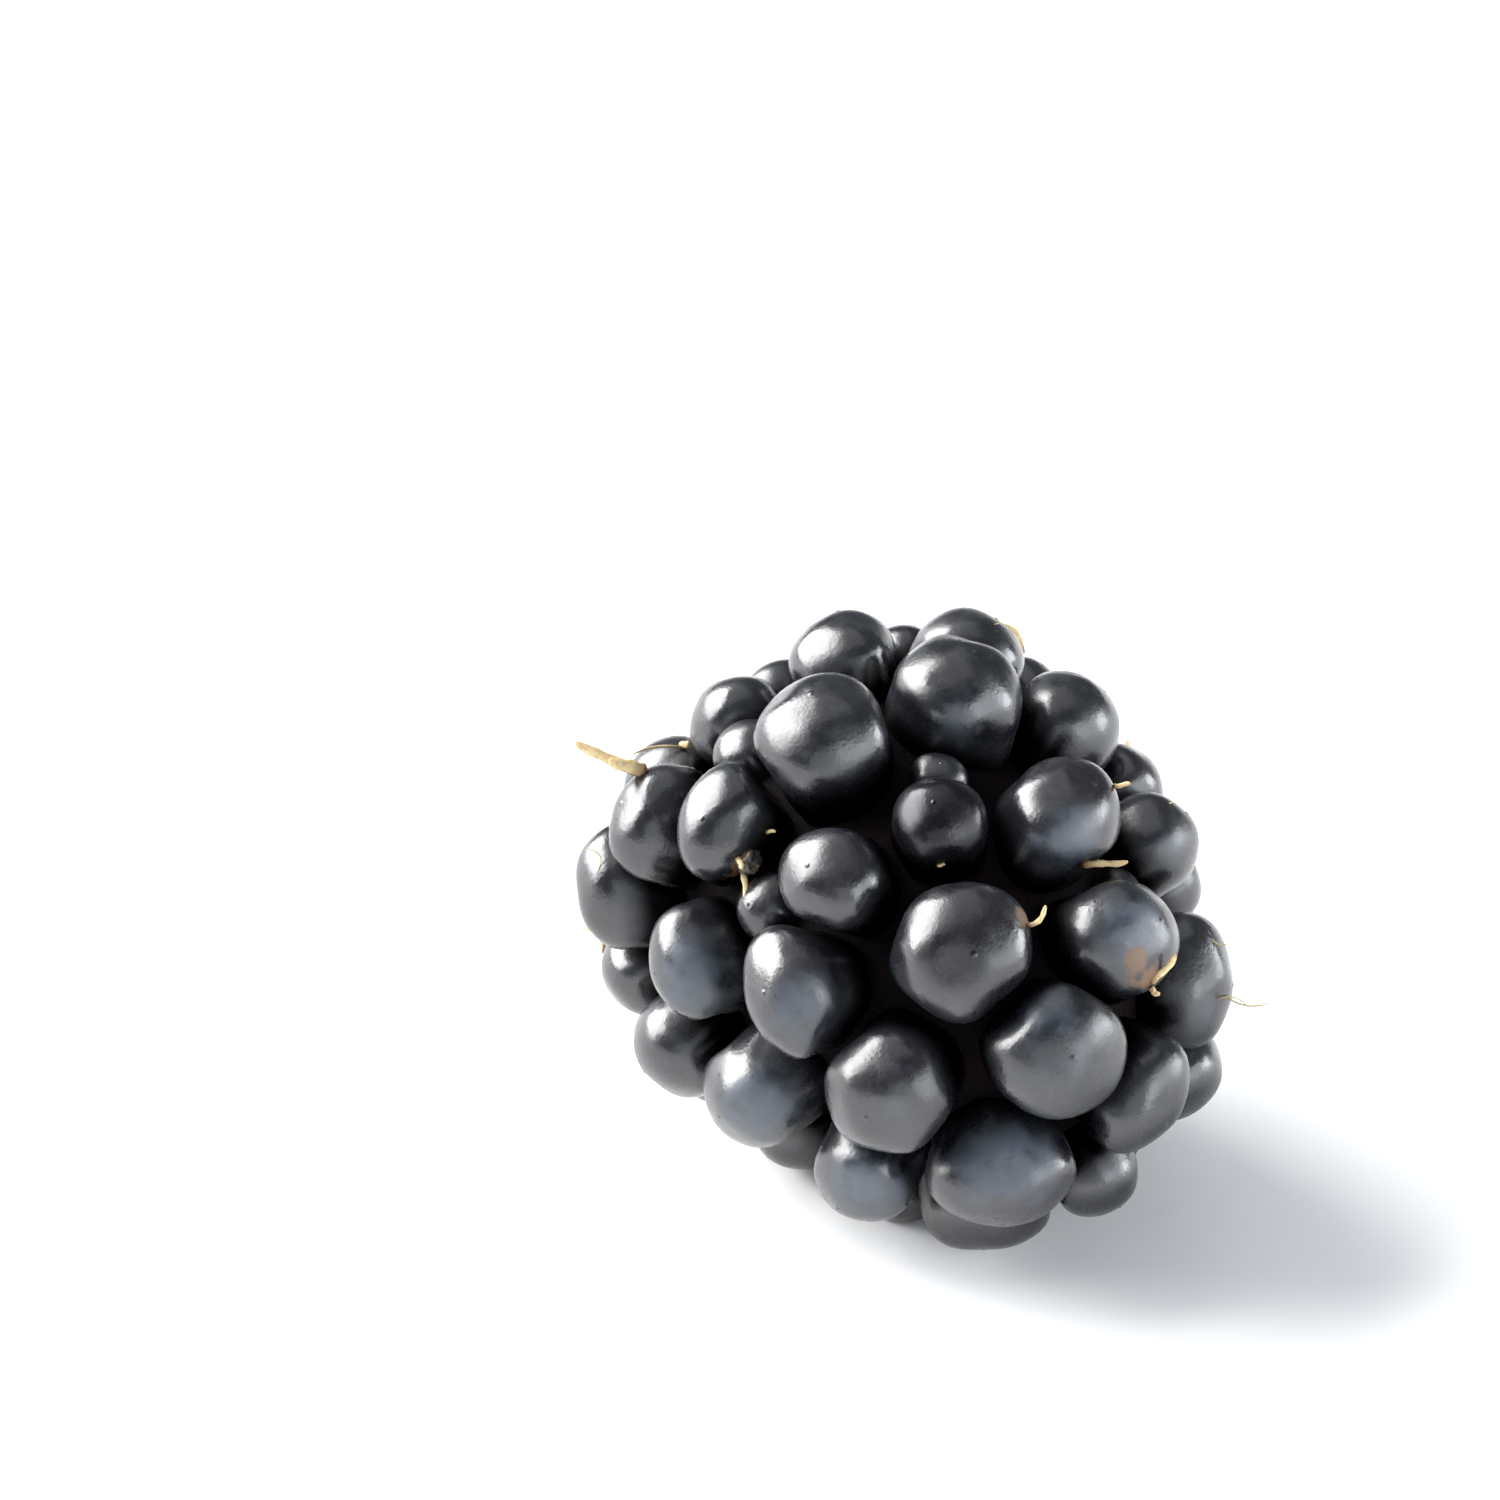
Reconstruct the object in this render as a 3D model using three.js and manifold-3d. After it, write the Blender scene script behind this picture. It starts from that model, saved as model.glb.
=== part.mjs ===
// A ripe bramble berry, as picked, lying on its side. Millimetres, +Z up.
// Its outside is a head of juicy drupelets round a smaller core. The rounded tip points to +X
// and a little down. At the stem end, towards -X, the drupelets leave a shallow cup, and the
// pale broken-off end of the receptacle fills it.
import * as THREE from 'three';
import { mergeVertices } from 'three/addons/utils/BufferGeometryUtils.js';
import Module from 'manifold-3d';

// Everything but the last step is worked out in the berry's own frame: X runs along its axis
// from the stem end to the tip, and the origin is near the middle.

// The egg-shaped surface that the middles of the drupelets lie on.
const EGG = { radius: 9, widestX: -0.8, stemReach: 9.6, tipReach: 13, stemPower: 2.9, tipPower: 2.1 };
const CORE_DEPTH = 1.5;        // how far the core's skin lies inside that surface
const CORE_SIDES = 18;
const CORE_RINGS = 12;

// A drupelet is a low dome above its middle and a longer root below it, whose flanks go
// almost straight down and spread a little before they close.
const DOME_SHARE = 0.85;       // the dome's height as a share of the half-width
const ROOT_SHARE = 1.6;        // the root's depth as a share of the half-width
const ROOT_POWER = 3;          // how square the root is in section
const ROOT_SPREAD = 0.15;      // how much wider the root gets
const SPREAD_DEPTH = 0.8;      // cosine, below the drupelet's middle, where it is widest
const SWELL = 1.07;            // full half-width over that of the part clear of its neighbours
const CREVICE = 0.14;          // gap left where two drupelets press on each other
const PRESS_POWER = 9;         // how sharply a side flattens against the next drupelet
const DOME_SIDES = 10;
const DOME_RINGS = [28, 56, 84, 112, 140];  // degrees from the drupelet's top

// How the berry lies: its tip lower than its stem end, its middle this high above the surface.
const LEAN = THREE.MathUtils.degToRad(10);
const MIDDLE_HEIGHT = 9.85;
const Y_AXIS = new THREE.Vector3(0, 1, 0);

// The side that shows best is faced from a direction turned round Z and raised by these.
const FACE_TURN = THREE.MathUtils.degToRad(56.8);
const FACE_RISE = THREE.MathUtils.degToRad(30);

// Drupelets on that side as [right, up, half-width, half-height], as it is faced.
const FACE_DRUPELETS = [
  [-3.5, 6.9, 2.5, 2.3], [1.5, 8.5, 2.4, 2.1], [0.8, 3.9, 1.7, 1.6], [5.3, 4.1, 2.1, 2.0],
  [-7.1, 3.9, 1.4, 2.3], [-3.1, 1.8, 2.0, 1.8], [1.6, -0.8, 2.5, 2.5], [7.3, -0.4, 2.1, 2.1],
  [-8.2, -1.3, 1.6, 2.2], [-4.4, -2.2, 1.9, 2.5], [-5.8, -6.0, 2.0, 2.1], [-1.0, -5.8, 2.3, 2.3],
  [5.0, -4.4, 2.5, 2.4], [8.0, -6.0, 1.6, 2.5], [3.0, -8.8, 2.7, 2.1], [-1.8, -8.9, 2.0, 1.7],
];
// Those on its rim or just round the far side: the same, and how near the eye.
const RIM_DRUPELETS = [
  [-2.6, 9.8, 2.0, 1.8, -0.6], [2.0, 9.95, 2.1, 1.7, -0.6], [5.6, 7.5, 2.0, 2.0, 0.8],
  [-6.6, 7.6, 1.9, 1.6, -0.8], [8.7, 3.1, 1.5, 1.9, 2.2], [-9.7, 3.8, 1.6, 2.2, 1.4],
  [9.8, -1.9, 1.8, 2.5, 3.5], [-10.9, 1.5, 1.6, 2.3, -0.8], [-8.6, -4.4, 1.6, 2.1, 0.0],
  [7.5, 5.0, 1.8, 1.8, -1.6], [9.0, 1.5, 1.6, 1.7, -2.0], [-10.0, -1.6, 1.7, 1.8, -3.2],
  [9.5, -5.3, 1.7, 1.9, 0.8], [-4.3, -7.3, 1.9, 1.8, -3.0], [6.6, -9.2, 1.6, 1.5, 3.1],
  [2.6, -10.1, 2.5, 1.7, 2.6], [-0.5, -9.4, 1.7, 1.5, -0.5], [-0.4, 9.8, 1.5, 1.4, -3.6],
  [4.0, 8.4, 1.7, 1.6, -4.2], [-4.8, 8.3, 1.6, 1.6, -3.6],
];
const LEAN_STRETCH = [0.75, 1.2];           // least and most length along the skin over width

// The rest start along a spiral on the egg and push each other apart.
const SPIRAL_COUNT = 90;
const SPIRAL_START = 2.31;
const SPIRAL_SIZES = [2, 2.4];              // half-widths
const SPIRAL_SEED = 7;
const KEEP_CLEAR = 0.8;        // of the two half-widths, from the drupelets placed before
const KEEP_AROUND = 0.1;       // how far round from the faced side, as a cosine
const SPREAD_STEPS = 120;
const SPREAD_REACH = 1.2;      // of the two half-widths, within which they push
const SPREAD_RATE = 0.1;
const RING_RADIUS = 4.6;       // of the drupelets round the cup

// Stunted drupelets sit a little deeper, in the gaps that are wide enough.
const FINE_COUNT = 900;        // places tried
const SMALL_ROOM = 1.1;        // least distance to the drupelets round it
const SMALL_WIDEST = 1.6;
const SMALL_DEPTH = 1.3;

// The cup is a cone cut into the stem end, and the receptacle's end stands in it.
const CUP = { floorX: -7, floorRadius: 2.4, mouthX: -14, mouthRadius: 4.1 };
const CUP_SIDES = 24;
const CUP_GAP = 0.3;
const RECEPTACLE = { endX: -10.5, shoulder: 0.4, pitRadius: 0.9, pitDepth: 0.5 };

const SKIN_COLOUR = 0x15131b;
const RECEPTACLE_COLOUR = 0xd3d3a4;

const wasm = await Module();
wasm.setup();

// --- solids -----------------------------------------------------------------------------

function toSolid(geometry) {
  geometry.deleteAttribute('normal');
  geometry.deleteAttribute('uv');
  const merged = mergeVertices(geometry, 1e-4);
  const vertProperties = new Float32Array(merged.attributes.position.array);
  const triVerts = new Uint32Array(merged.index.array);
  return new wasm.Manifold(new wasm.Mesh({ numProp: 3, vertProperties, triVerts }));
}

function toGeometry(solid) {
  const mesh = solid.getMesh();
  const geometry = new THREE.BufferGeometry();
  geometry.setAttribute('position', new THREE.BufferAttribute(mesh.vertProperties.slice(), 3));
  geometry.setIndex(new THREE.BufferAttribute(mesh.triVerts.slice(), 1));
  return geometry;
}

// A body of revolution about the X axis, from [x, radius] pairs that run towards +X.
function turned(profile, sides) {
  const points = profile.map(([x, radius]) => new THREE.Vector2(radius, x));
  return new THREE.LatheGeometry(points, sides).rotateZ(-Math.PI / 2);
}

// --- the egg ----------------------------------------------------------------------------

// 1 on the egg, less inside it and more outside. Each half is a superellipse in section.
function eggLevel({ x, y, z }) {
  const along = x - EGG.widestX;
  const reach = along < 0 ? EGG.stemReach : EGG.tipReach;
  const power = along < 0 ? EGG.stemPower : EGG.tipPower;
  const across = Math.hypot(y, z) / EGG.radius;
  return (Math.abs(along / reach) ** power + across ** power) ** (1 / power);
}

// Outward direction at a point, from small differences of the level.
function eggNormal(point) {
  const step = 1e-3;
  const slope = (axis) => {
    const ahead = eggLevel(point.clone().addScaledVector(axis, step));
    return ahead - eggLevel(point.clone().addScaledVector(axis, -step));
  };
  const [x, y, z] = [[1, 0, 0], [0, 1, 0], [0, 0, 1]].map((axis) => slope(new THREE.Vector3(...axis)));
  return new THREE.Vector3(x, y, z).normalize();
}

// Moves a point to the egg, straight towards or away from the middle of its widest section.
function ontoEgg(point) {
  const level = eggLevel(point);
  const middle = new THREE.Vector3(EGG.widestX, 0, 0);
  return point.clone().sub(middle).divideScalar(level).add(middle);
}

// Place along X, on the stem side, where the egg has a given radius.
function stemSideX(radius) {
  const power = EGG.stemPower;
  return EGG.widestX - EGG.stemReach * (1 - (radius / EGG.radius) ** power) ** (1 / power);
}

// --- where the drupelets sit ------------------------------------------------------------

const facing = new THREE.Vector3(
  Math.sin(FACE_TURN) * Math.cos(FACE_RISE),
  -Math.cos(FACE_TURN) * Math.cos(FACE_RISE),
  Math.sin(FACE_RISE),
).applyAxisAngle(Y_AXIS, -LEAN);
const rightwards = new THREE.Vector3(Math.cos(FACE_TURN), Math.sin(FACE_TURN), 0);
rightwards.applyAxisAngle(Y_AXIS, -LEAN);
const upwards = new THREE.Vector3().crossVectors(facing, rightwards);

function placeSeen(right, up, near) {
  const place = new THREE.Vector3().addScaledVector(rightwards, right);
  return place.addScaledVector(upwards, up).addScaledVector(facing, near);
}

// Slides a place on the faced side straight back to where it meets the egg.
function slideToEgg(right, up) {
  let near = 20;
  while (eggLevel(placeSeen(right, up, near)) >= 1) near -= 0.02;
  return placeSeen(right, up, near);
}

// A placed drupelet. Its axes are the outward normal, the direction along the skin that is
// seen at full length, and the one that leans away from the eye. Its half-width in the last
// is what gives the size it shows.
function placedDrupelet(middle, halfWidth, halfHeight) {
  const normal = eggNormal(middle);
  const side = new THREE.Vector3().crossVectors(facing, normal).normalize();
  const leaning = new THREE.Vector3().crossVectors(normal, side);
  const [across, along] = [side.dot(rightwards), side.dot(upwards)];
  const seenSide = SWELL * Math.hypot(halfWidth * across, halfHeight * along);
  const seenLeaning = SWELL * Math.hypot(halfWidth * along, halfHeight * across);
  const mean = Math.max(seenSide, seenLeaning);
  const cosine = Math.abs(normal.dot(facing));
  const domeSeen = DOME_SHARE * mean * Math.sqrt(1 - cosine ** 2);
  const squared = Math.max(0, seenLeaning ** 2 - domeSeen ** 2) / Math.max(cosine ** 2, 0.05);
  const [least, most] = LEAN_STRETCH;
  const leaningSize = THREE.MathUtils.clamp(Math.sqrt(squared), least * mean, most * mean);
  return { middle, normal, side, leaning, widths: [seenSide, leaningSize], placed: true };
}

function halfWidthOf(drupelet) {
  return (drupelet.widths[0] + drupelet.widths[1]) / 2;
}

// A repeatable series of draws between 0 and 1.
function drawSeries(seed) {
  let state = seed;
  return () => {
    state = (state * 16807) % 2147483647;
    return state / 2147483647;
  };
}

// A point of a golden-angle spiral on the egg, from the tip to the stem end.
function spiralPoint(k, count, start) {
  const along = 1 - (2 * (k + 0.5)) / count;
  const reach = along < 0 ? EGG.stemReach : EGG.tipReach;
  const across = EGG.radius * Math.sqrt(1 - along * along);
  const angle = start + Math.PI * (3 - Math.sqrt(5)) * k;
  return ontoEgg(new THREE.Vector3(
    EGG.widestX + reach * along, across * Math.cos(angle), across * Math.sin(angle),
  ));
}

// The free drupelets: spiral points, less those that crowd a placed drupelet, sit over the
// cup or show on the faced side.
function spiralDrupelets(placed) {
  const draw = drawSeries(SPIRAL_SEED);
  const found = [];
  for (let k = 0; k < SPIRAL_COUNT; k += 1) {
    const size = THREE.MathUtils.lerp(...SPIRAL_SIZES, draw());
    const middle = spiralPoint(k, SPIRAL_COUNT, SPIRAL_START);
    const crowded = placed.some((other) => (
      other.middle.distanceTo(middle) < KEEP_CLEAR * (halfWidthOf(other) + size)
    ));
    const overCup = middle.x < 0 && Math.hypot(middle.y, middle.z) < RING_RADIUS * 0.7;
    const onFace = eggNormal(middle).dot(facing) > KEEP_AROUND;
    if (!crowded && !overCup && !onFace) found.push({ middle, widths: [size, size], placed: false });
  }
  return found;
}

// Moves a middle that strayed over the cup back to the ring round it.
function outsideCup(middle) {
  const radius = Math.hypot(middle.y, middle.z);
  if (middle.x > 0 || radius >= RING_RADIUS) return middle;
  const grow = RING_RADIUS / radius;
  return new THREE.Vector3(stemSideX(RING_RADIUS), middle.y * grow, middle.z * grow);
}

function spreadApart(drupelets) {
  for (let step = 0; step < SPREAD_STEPS; step += 1) {
    const moved = drupelets.map((one) => {
      if (one.placed) return one.middle;
      const push = new THREE.Vector3();
      drupelets.filter((other) => other !== one).forEach((other) => {
        const apart = one.middle.clone().sub(other.middle);
        const lack = SPREAD_REACH * (halfWidthOf(one) + halfWidthOf(other)) - apart.length();
        if (lack > 0) push.addScaledVector(apart.normalize(), SPREAD_RATE * lack);
      });
      return outsideCup(ontoEgg(push.add(one.middle)));
    });
    drupelets.forEach((one, k) => { one.middle = moved[k]; });
  }
}

// Again and again, the fine spiral's point with most room round it gets a stunted drupelet.
function addSmallDrupelets(drupelets) {
  const clearOf = (point, one) => point.distanceTo(one.middle) - halfWidthOf(one);
  const points = [];
  for (let k = 0; k < FINE_COUNT; k += 1) {
    const point = spiralPoint(k, FINE_COUNT, 0);
    const room = Math.min(...drupelets.map((one) => clearOf(point, one)));
    if (point.x > 0 || Math.hypot(point.y, point.z) > RING_RADIUS) points.push({ point, room });
  }
  const roomiest = () => points.reduce((best, next) => (next.room > best.room ? next : best));
  for (let best = roomiest(); best.room > SMALL_ROOM; best = roomiest()) {
    const size = Math.min(best.room, SMALL_WIDEST);
    const small = { middle: best.point, widths: [size, size], placed: false };
    points.forEach((one) => { one.room = Math.min(one.room, clearOf(one.point, small)); });
    small.middle = best.point.clone().addScaledVector(eggNormal(best.point), -SMALL_DEPTH);
    drupelets.push(small);
  }
}

const drupelets = [
  ...FACE_DRUPELETS.map(([right, up, ...size]) => placedDrupelet(slideToEgg(right, up), ...size)),
  ...RIM_DRUPELETS.map(([right, up, halfWidth, halfHeight, near]) => (
    placedDrupelet(placeSeen(right, up, near), halfWidth, halfHeight)
  )),
];
drupelets.push(...spiralDrupelets(drupelets));
spreadApart(drupelets);
addSmallDrupelets(drupelets);
drupelets.filter((one) => !one.placed).forEach((one) => {
  one.normal = eggNormal(one.middle);
  one.side = new THREE.Vector3(1, 0, 0).cross(one.normal).normalize();
  one.leaning = new THREE.Vector3().crossVectors(one.normal, one.side);
});

// --- a drupelet's shape -----------------------------------------------------------------

// Distance from a drupelet's middle to its free skin in a direction. The outer half is half
// an ellipsoid, and the inner half is a superellipsoid that spreads as it goes down.
function freeReach(one, direction) {
  const out = direction.dot(one.normal);
  const size = halfWidthOf(one);
  const share = THREE.MathUtils.smoothstep(-out, 0, SPREAD_DEPTH);
  const sideways = Math.hypot(
    direction.dot(one.side) / one.widths[0], direction.dot(one.leaning) / one.widths[1],
  );
  if (out > 0) return 1 / Math.hypot(out / (DOME_SHARE * size), sideways);
  const across = sideways / (1 + ROOT_SPREAD * share);
  const down = -out / (ROOT_SHARE * size);
  return (down ** ROOT_POWER + across ** ROOT_POWER) ** (-1 / ROOT_POWER);
}

// The planes where a drupelet meets those round it, shared out by their sizes.
function pressPlanes(one) {
  return drupelets.filter((other) => other !== one).map((other) => {
    const direction = other.middle.clone().sub(one.middle);
    const distance = direction.length();
    direction.divideScalar(distance);
    const mine = freeReach(one, direction);
    const theirs = freeReach(other, direction.clone().negate());
    return { direction, distance: (distance * mine) / (mine + theirs) - CREVICE / 2 };
  });
}

// Rings of directions round a drupelet's normal, closed at its top and at its root.
function domeDirections(one) {
  const profile = [0, ...DOME_RINGS, 180].map((degrees) => {
    const angle = THREE.MathUtils.degToRad(degrees);
    return new THREE.Vector2(degrees % 180 === 0 ? 0 : Math.sin(angle), -Math.cos(angle));
  });
  const frame = new THREE.Matrix4().makeBasis(one.side, one.normal.clone().negate(), one.leaning);
  return new THREE.LatheGeometry(profile, DOME_SIDES).applyMatrix4(frame);
}

// The free skin, drawn in smoothly where the neighbours press on it.
function drupeletSolid(one) {
  const geometry = domeDirections(one);
  const planes = pressPlanes(one);
  const position = geometry.attributes.position;
  for (let k = 0; k < position.count; k += 1) {
    const direction = new THREE.Vector3().fromBufferAttribute(position, k);
    const pressed = planes.map((plane) => Math.max(0, direction.dot(plane.direction)) / plane.distance);
    const sum = [1 / freeReach(one, direction), ...pressed].reduce((all, x) => all + x ** PRESS_POWER, 0);
    direction.multiplyScalar(sum ** (-1 / PRESS_POWER)).add(one.middle);
    position.setXYZ(k, direction.x, direction.y, direction.z);
  }
  return toSolid(geometry);
}

// --- core, cup and receptacle -----------------------------------------------------------

function coreSolid() {
  const profile = [];
  for (let k = 0; k <= CORE_RINGS; k += 1) {
    const angle = (Math.PI * k) / CORE_RINGS;
    const start = new THREE.Vector3(EGG.widestX - Math.cos(angle), Math.sin(angle), 0);
    const skin = ontoEgg(start);
    skin.addScaledVector(eggNormal(skin), -CORE_DEPTH);
    profile.push([skin.x, k % CORE_RINGS === 0 ? 0 : skin.y]);
  }
  return toSolid(turned(profile, CORE_SIDES));
}

function cupRadius(x) {
  const share = (x - CUP.floorX) / (CUP.mouthX - CUP.floorX);
  return THREE.MathUtils.lerp(CUP.floorRadius, CUP.mouthRadius, share);
}

function cupSolid() {
  const { mouthX, floorX } = CUP;
  const profile = [[mouthX, 0], [mouthX, cupRadius(mouthX)], [floorX, cupRadius(floorX)], [floorX, 0]];
  return toSolid(turned(profile, CUP_SIDES));
}

// The receptacle's end: a short plug with a rounded edge and a pit where the stalk broke off.
function receptacleGeometry() {
  const { endX, shoulder, pitRadius, pitDepth } = RECEPTACLE;
  const rootX = CUP.floorX - CUP_GAP;
  const shoulderX = endX + shoulder;
  return turned([
    [endX + pitDepth, 0], [endX, pitRadius], [endX, cupRadius(endX) - CUP_GAP - shoulder],
    [shoulderX, cupRadius(shoulderX) - CUP_GAP], [rootX, cupRadius(rootX) - CUP_GAP], [rootX, 0],
  ], CUP_SIDES);
}

// What lies below the resting surface, in the berry's own frame.
function belowSurface() {
  const size = 60;
  const slab = new THREE.BoxGeometry(size, size, size);
  return toSolid(slab.translate(0, 0, -MIDDLE_HEIGHT - size / 2).rotateY(-LEAN));
}

// --- the berry --------------------------------------------------------------------------

const joined = drupelets.reduce((all, one) => all.add(drupeletSolid(one)), coreSolid());
const head = toGeometry(joined.subtract(cupSolid()).subtract(belowSurface())).rotateY(LEAN);
const receptacle = receptacleGeometry().rotateY(LEAN);

// The origin is on the resting surface, under the middle of the berry's outline.
head.computeBoundingBox();
const centre = head.boundingBox.getCenter(new THREE.Vector3());
const offset = new THREE.Vector3(-centre.x, -centre.y, MIDDLE_HEIGHT);

const berry = new THREE.Group();
const skinMaterial = new THREE.MeshStandardMaterial({ color: SKIN_COLOUR, roughness: 0.28, metalness: 0 });
const endMaterial = new THREE.MeshStandardMaterial({ color: RECEPTACLE_COLOUR, roughness: 0.75 });
const meshes = [['drupelets', head, skinMaterial], ['receptacle', receptacle, endMaterial]];
meshes.forEach(([name, geometry, material]) => {
  const mesh = new THREE.Mesh(geometry, material);
  mesh.name = name;
  mesh.position.copy(offset);
  berry.add(mesh);
});

export default berry;
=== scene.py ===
import math

import bpy
import numpy as np
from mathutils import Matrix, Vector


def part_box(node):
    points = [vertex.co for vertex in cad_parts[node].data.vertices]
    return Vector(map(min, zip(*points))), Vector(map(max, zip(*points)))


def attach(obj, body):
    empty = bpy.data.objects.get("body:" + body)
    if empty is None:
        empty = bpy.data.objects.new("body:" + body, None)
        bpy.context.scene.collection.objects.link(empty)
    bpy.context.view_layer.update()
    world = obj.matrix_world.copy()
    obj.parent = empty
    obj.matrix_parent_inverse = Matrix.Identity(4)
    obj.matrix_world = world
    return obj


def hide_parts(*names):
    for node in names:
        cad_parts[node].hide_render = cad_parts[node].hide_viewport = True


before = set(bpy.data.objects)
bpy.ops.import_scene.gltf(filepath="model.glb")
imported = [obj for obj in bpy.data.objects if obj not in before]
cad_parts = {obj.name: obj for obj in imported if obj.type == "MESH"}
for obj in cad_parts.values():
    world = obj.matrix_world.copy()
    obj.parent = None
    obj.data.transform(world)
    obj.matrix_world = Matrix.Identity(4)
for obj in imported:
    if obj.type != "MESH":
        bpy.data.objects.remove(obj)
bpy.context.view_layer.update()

# --------------------------
# The berry's own frame: X runs along its axis from the stem end to the rounded tip, and the
# origin is near its middle. The fruit lies with its tip lower than its stem end. Lengths are
# in millimetres until a mesh is made.
# --------------------------
MM = 0.001
LEAN = math.radians(10)
CUP = dict(floor_x=-7.0, floor_radius=2.4, mouth_x=-14.0, mouth_radius=4.1)
CUP_GAP = 0.3
PLUG = dict(end_x=-10.5, shoulder=0.4, pit_radius=0.9, pit_depth=0.5)


def cup_radius(x):
    """Radius of the cup at x: a cone that widens evenly from its floor to its mouth."""
    share = (x - CUP["floor_x"]) / (CUP["mouth_x"] - CUP["floor_x"])
    return CUP["floor_radius"] + share * (CUP["mouth_radius"] - CUP["floor_radius"])


def leaned(points):
    """Turns points about Y by the lean, so that what lies along +X tips down."""
    x, y, z = np.moveaxis(np.asarray(points, float), -1, 0)
    return np.stack([x * math.cos(LEAN) + z * math.sin(LEAN), y,
                     z * math.cos(LEAN) - x * math.sin(LEAN)], axis=-1)


def middle_of_berry():
    """Where the berry's own origin lies in the model, found from the receptacle's box. Its
    end and root discs are square to the axis, so their rims give the box."""
    low, high = (np.array(corner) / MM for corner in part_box("receptacle"))
    end, root = PLUG["end_x"], CUP["floor_x"] - CUP_GAP
    end_rim = cup_radius(end) - CUP_GAP - PLUG["shoulder"]
    shoulder = end + PLUG["shoulder"]
    shoulder_rim = cup_radius(shoulder) - CUP_GAP
    root_rim = cup_radius(root) - CUP_GAP
    rims = [(end, end_rim), (shoulder, shoulder_rim), (root, root_rim)]
    sine, cosine = math.sin(LEAN), math.cos(LEAN)
    highest = max(rim * cosine - x * sine for x, rim in rims)
    leftmost = min(x * cosine - rim * sine for x, rim in rims)
    return np.array([low[0] - leftmost, (low[1] + high[1]) / 2, high[2] - highest])


berry_middle = middle_of_berry()


def in_model(points):
    """Points of the berry's own frame, in millimetres, as metres of the model."""
    return (leaned(points) + berry_middle) * MM


# --------------------------
# Camera: square on to the side of the fruit that shows best, and well above the table. Its
# long lens keeps near and far drupelets at almost the same scale.
# --------------------------
FACE_TURN = math.radians(56.8)
FACE_RISE = math.radians(30)
CAMERA_DISTANCE = 0.42         # metres
FIELD_WIDTH = 0.05625          # what the picture takes in at the berry's distance, metres
NEAREST, FURTHEST = 0.01, 10   # what the camera can see, metres
BERRY_OFF_CENTRE = (6.2, -6.6)  # the berry's middle in the picture, right and up, millimetres

facing = np.array([math.sin(FACE_TURN) * math.cos(FACE_RISE),
                   -math.cos(FACE_TURN) * math.cos(FACE_RISE), math.sin(FACE_RISE)])
rightwards = np.array([math.cos(FACE_TURN), math.sin(FACE_TURN), 0.0])
upwards = np.cross(facing, rightwards)

camera_data = bpy.data.cameras.new("camera")
camera = bpy.data.objects.new("camera", camera_data)
bpy.context.collection.objects.link(camera)
aim = berry_middle * MM - (BERRY_OFF_CENTRE[0] * rightwards + BERRY_OFF_CENTRE[1] * upwards) * MM
camera.location = aim + facing * CAMERA_DISTANCE
camera.rotation_euler = (math.pi / 2 - FACE_RISE, 0, FACE_TURN)
camera_data.lens = camera_data.sensor_width * CAMERA_DISTANCE / FIELD_WIDTH
camera_data.clip_start, camera_data.clip_end = NEAREST, FURTHEST
bpy.context.scene.camera = camera

# --------------------------
# Drupelets: the juicy beads of the fruit, which press on each other and flatten where they
# meet. Those on the best side are placed one by one, and the rest along a spiral, from which
# they push each other apart.
# --------------------------
# The egg-shaped surface that the drupelets' middles lie on.
EGG_RADIUS, EGG_WIDEST_X = 9.0, -0.8
EGG_REACH = (9.6, 13.0)        # from the widest section to the stem end and to the tip
EGG_POWER = (2.9, 2.1)         # of the section of those two halves
SLOPE_STEP = 0.001             # for the egg's slope
# One drupelet: its dome's height and its root's depth as shares of the half-width, how square
# and how much wider its root gets, and how it meets its neighbours.
DOME_SHARE, ROOT_SHARE, ROOT_POWER = 0.85, 1.6, 3.0
ROOT_SPREAD, SPREAD_DEPTH = 0.15, 0.8
CREVICE, PRESS_POWER = 0.14, 9
SWELL = 1.07                   # its half-width over the listed one, which is of its clear part
LEAN_STRETCH = (0.75, 1.2)     # least and most length along the skin over width
LEAST_COSINE = 0.05            # squared, below which a size is no longer corrected
SIGHT_START, SIGHT_STEP, SIGHT_STEPS = 20, 0.01, 2001   # along a line of sight to the egg
FACE_DRUPELETS = [             # right, up, half-width and half-height as the side is faced
    (-3.5, 6.9, 2.5, 2.3), (1.5, 8.5, 2.4, 2.1), (0.8, 3.9, 1.7, 1.6), (5.3, 4.1, 2.1, 2.0),
    (-7.1, 3.9, 1.4, 2.3), (-3.1, 1.8, 2.0, 1.8), (1.6, -0.8, 2.5, 2.5), (7.3, -0.4, 2.1, 2.1),
    (-8.2, -1.3, 1.6, 2.2), (-4.4, -2.2, 1.9, 2.5), (-5.8, -6.0, 2.0, 2.1), (-1.0, -5.8, 2.3, 2.3),
    (5.0, -4.4, 2.5, 2.4), (8.0, -6.0, 1.6, 2.5), (3.0, -8.8, 2.7, 2.1), (-1.8, -8.9, 2.0, 1.7),
]
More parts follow.
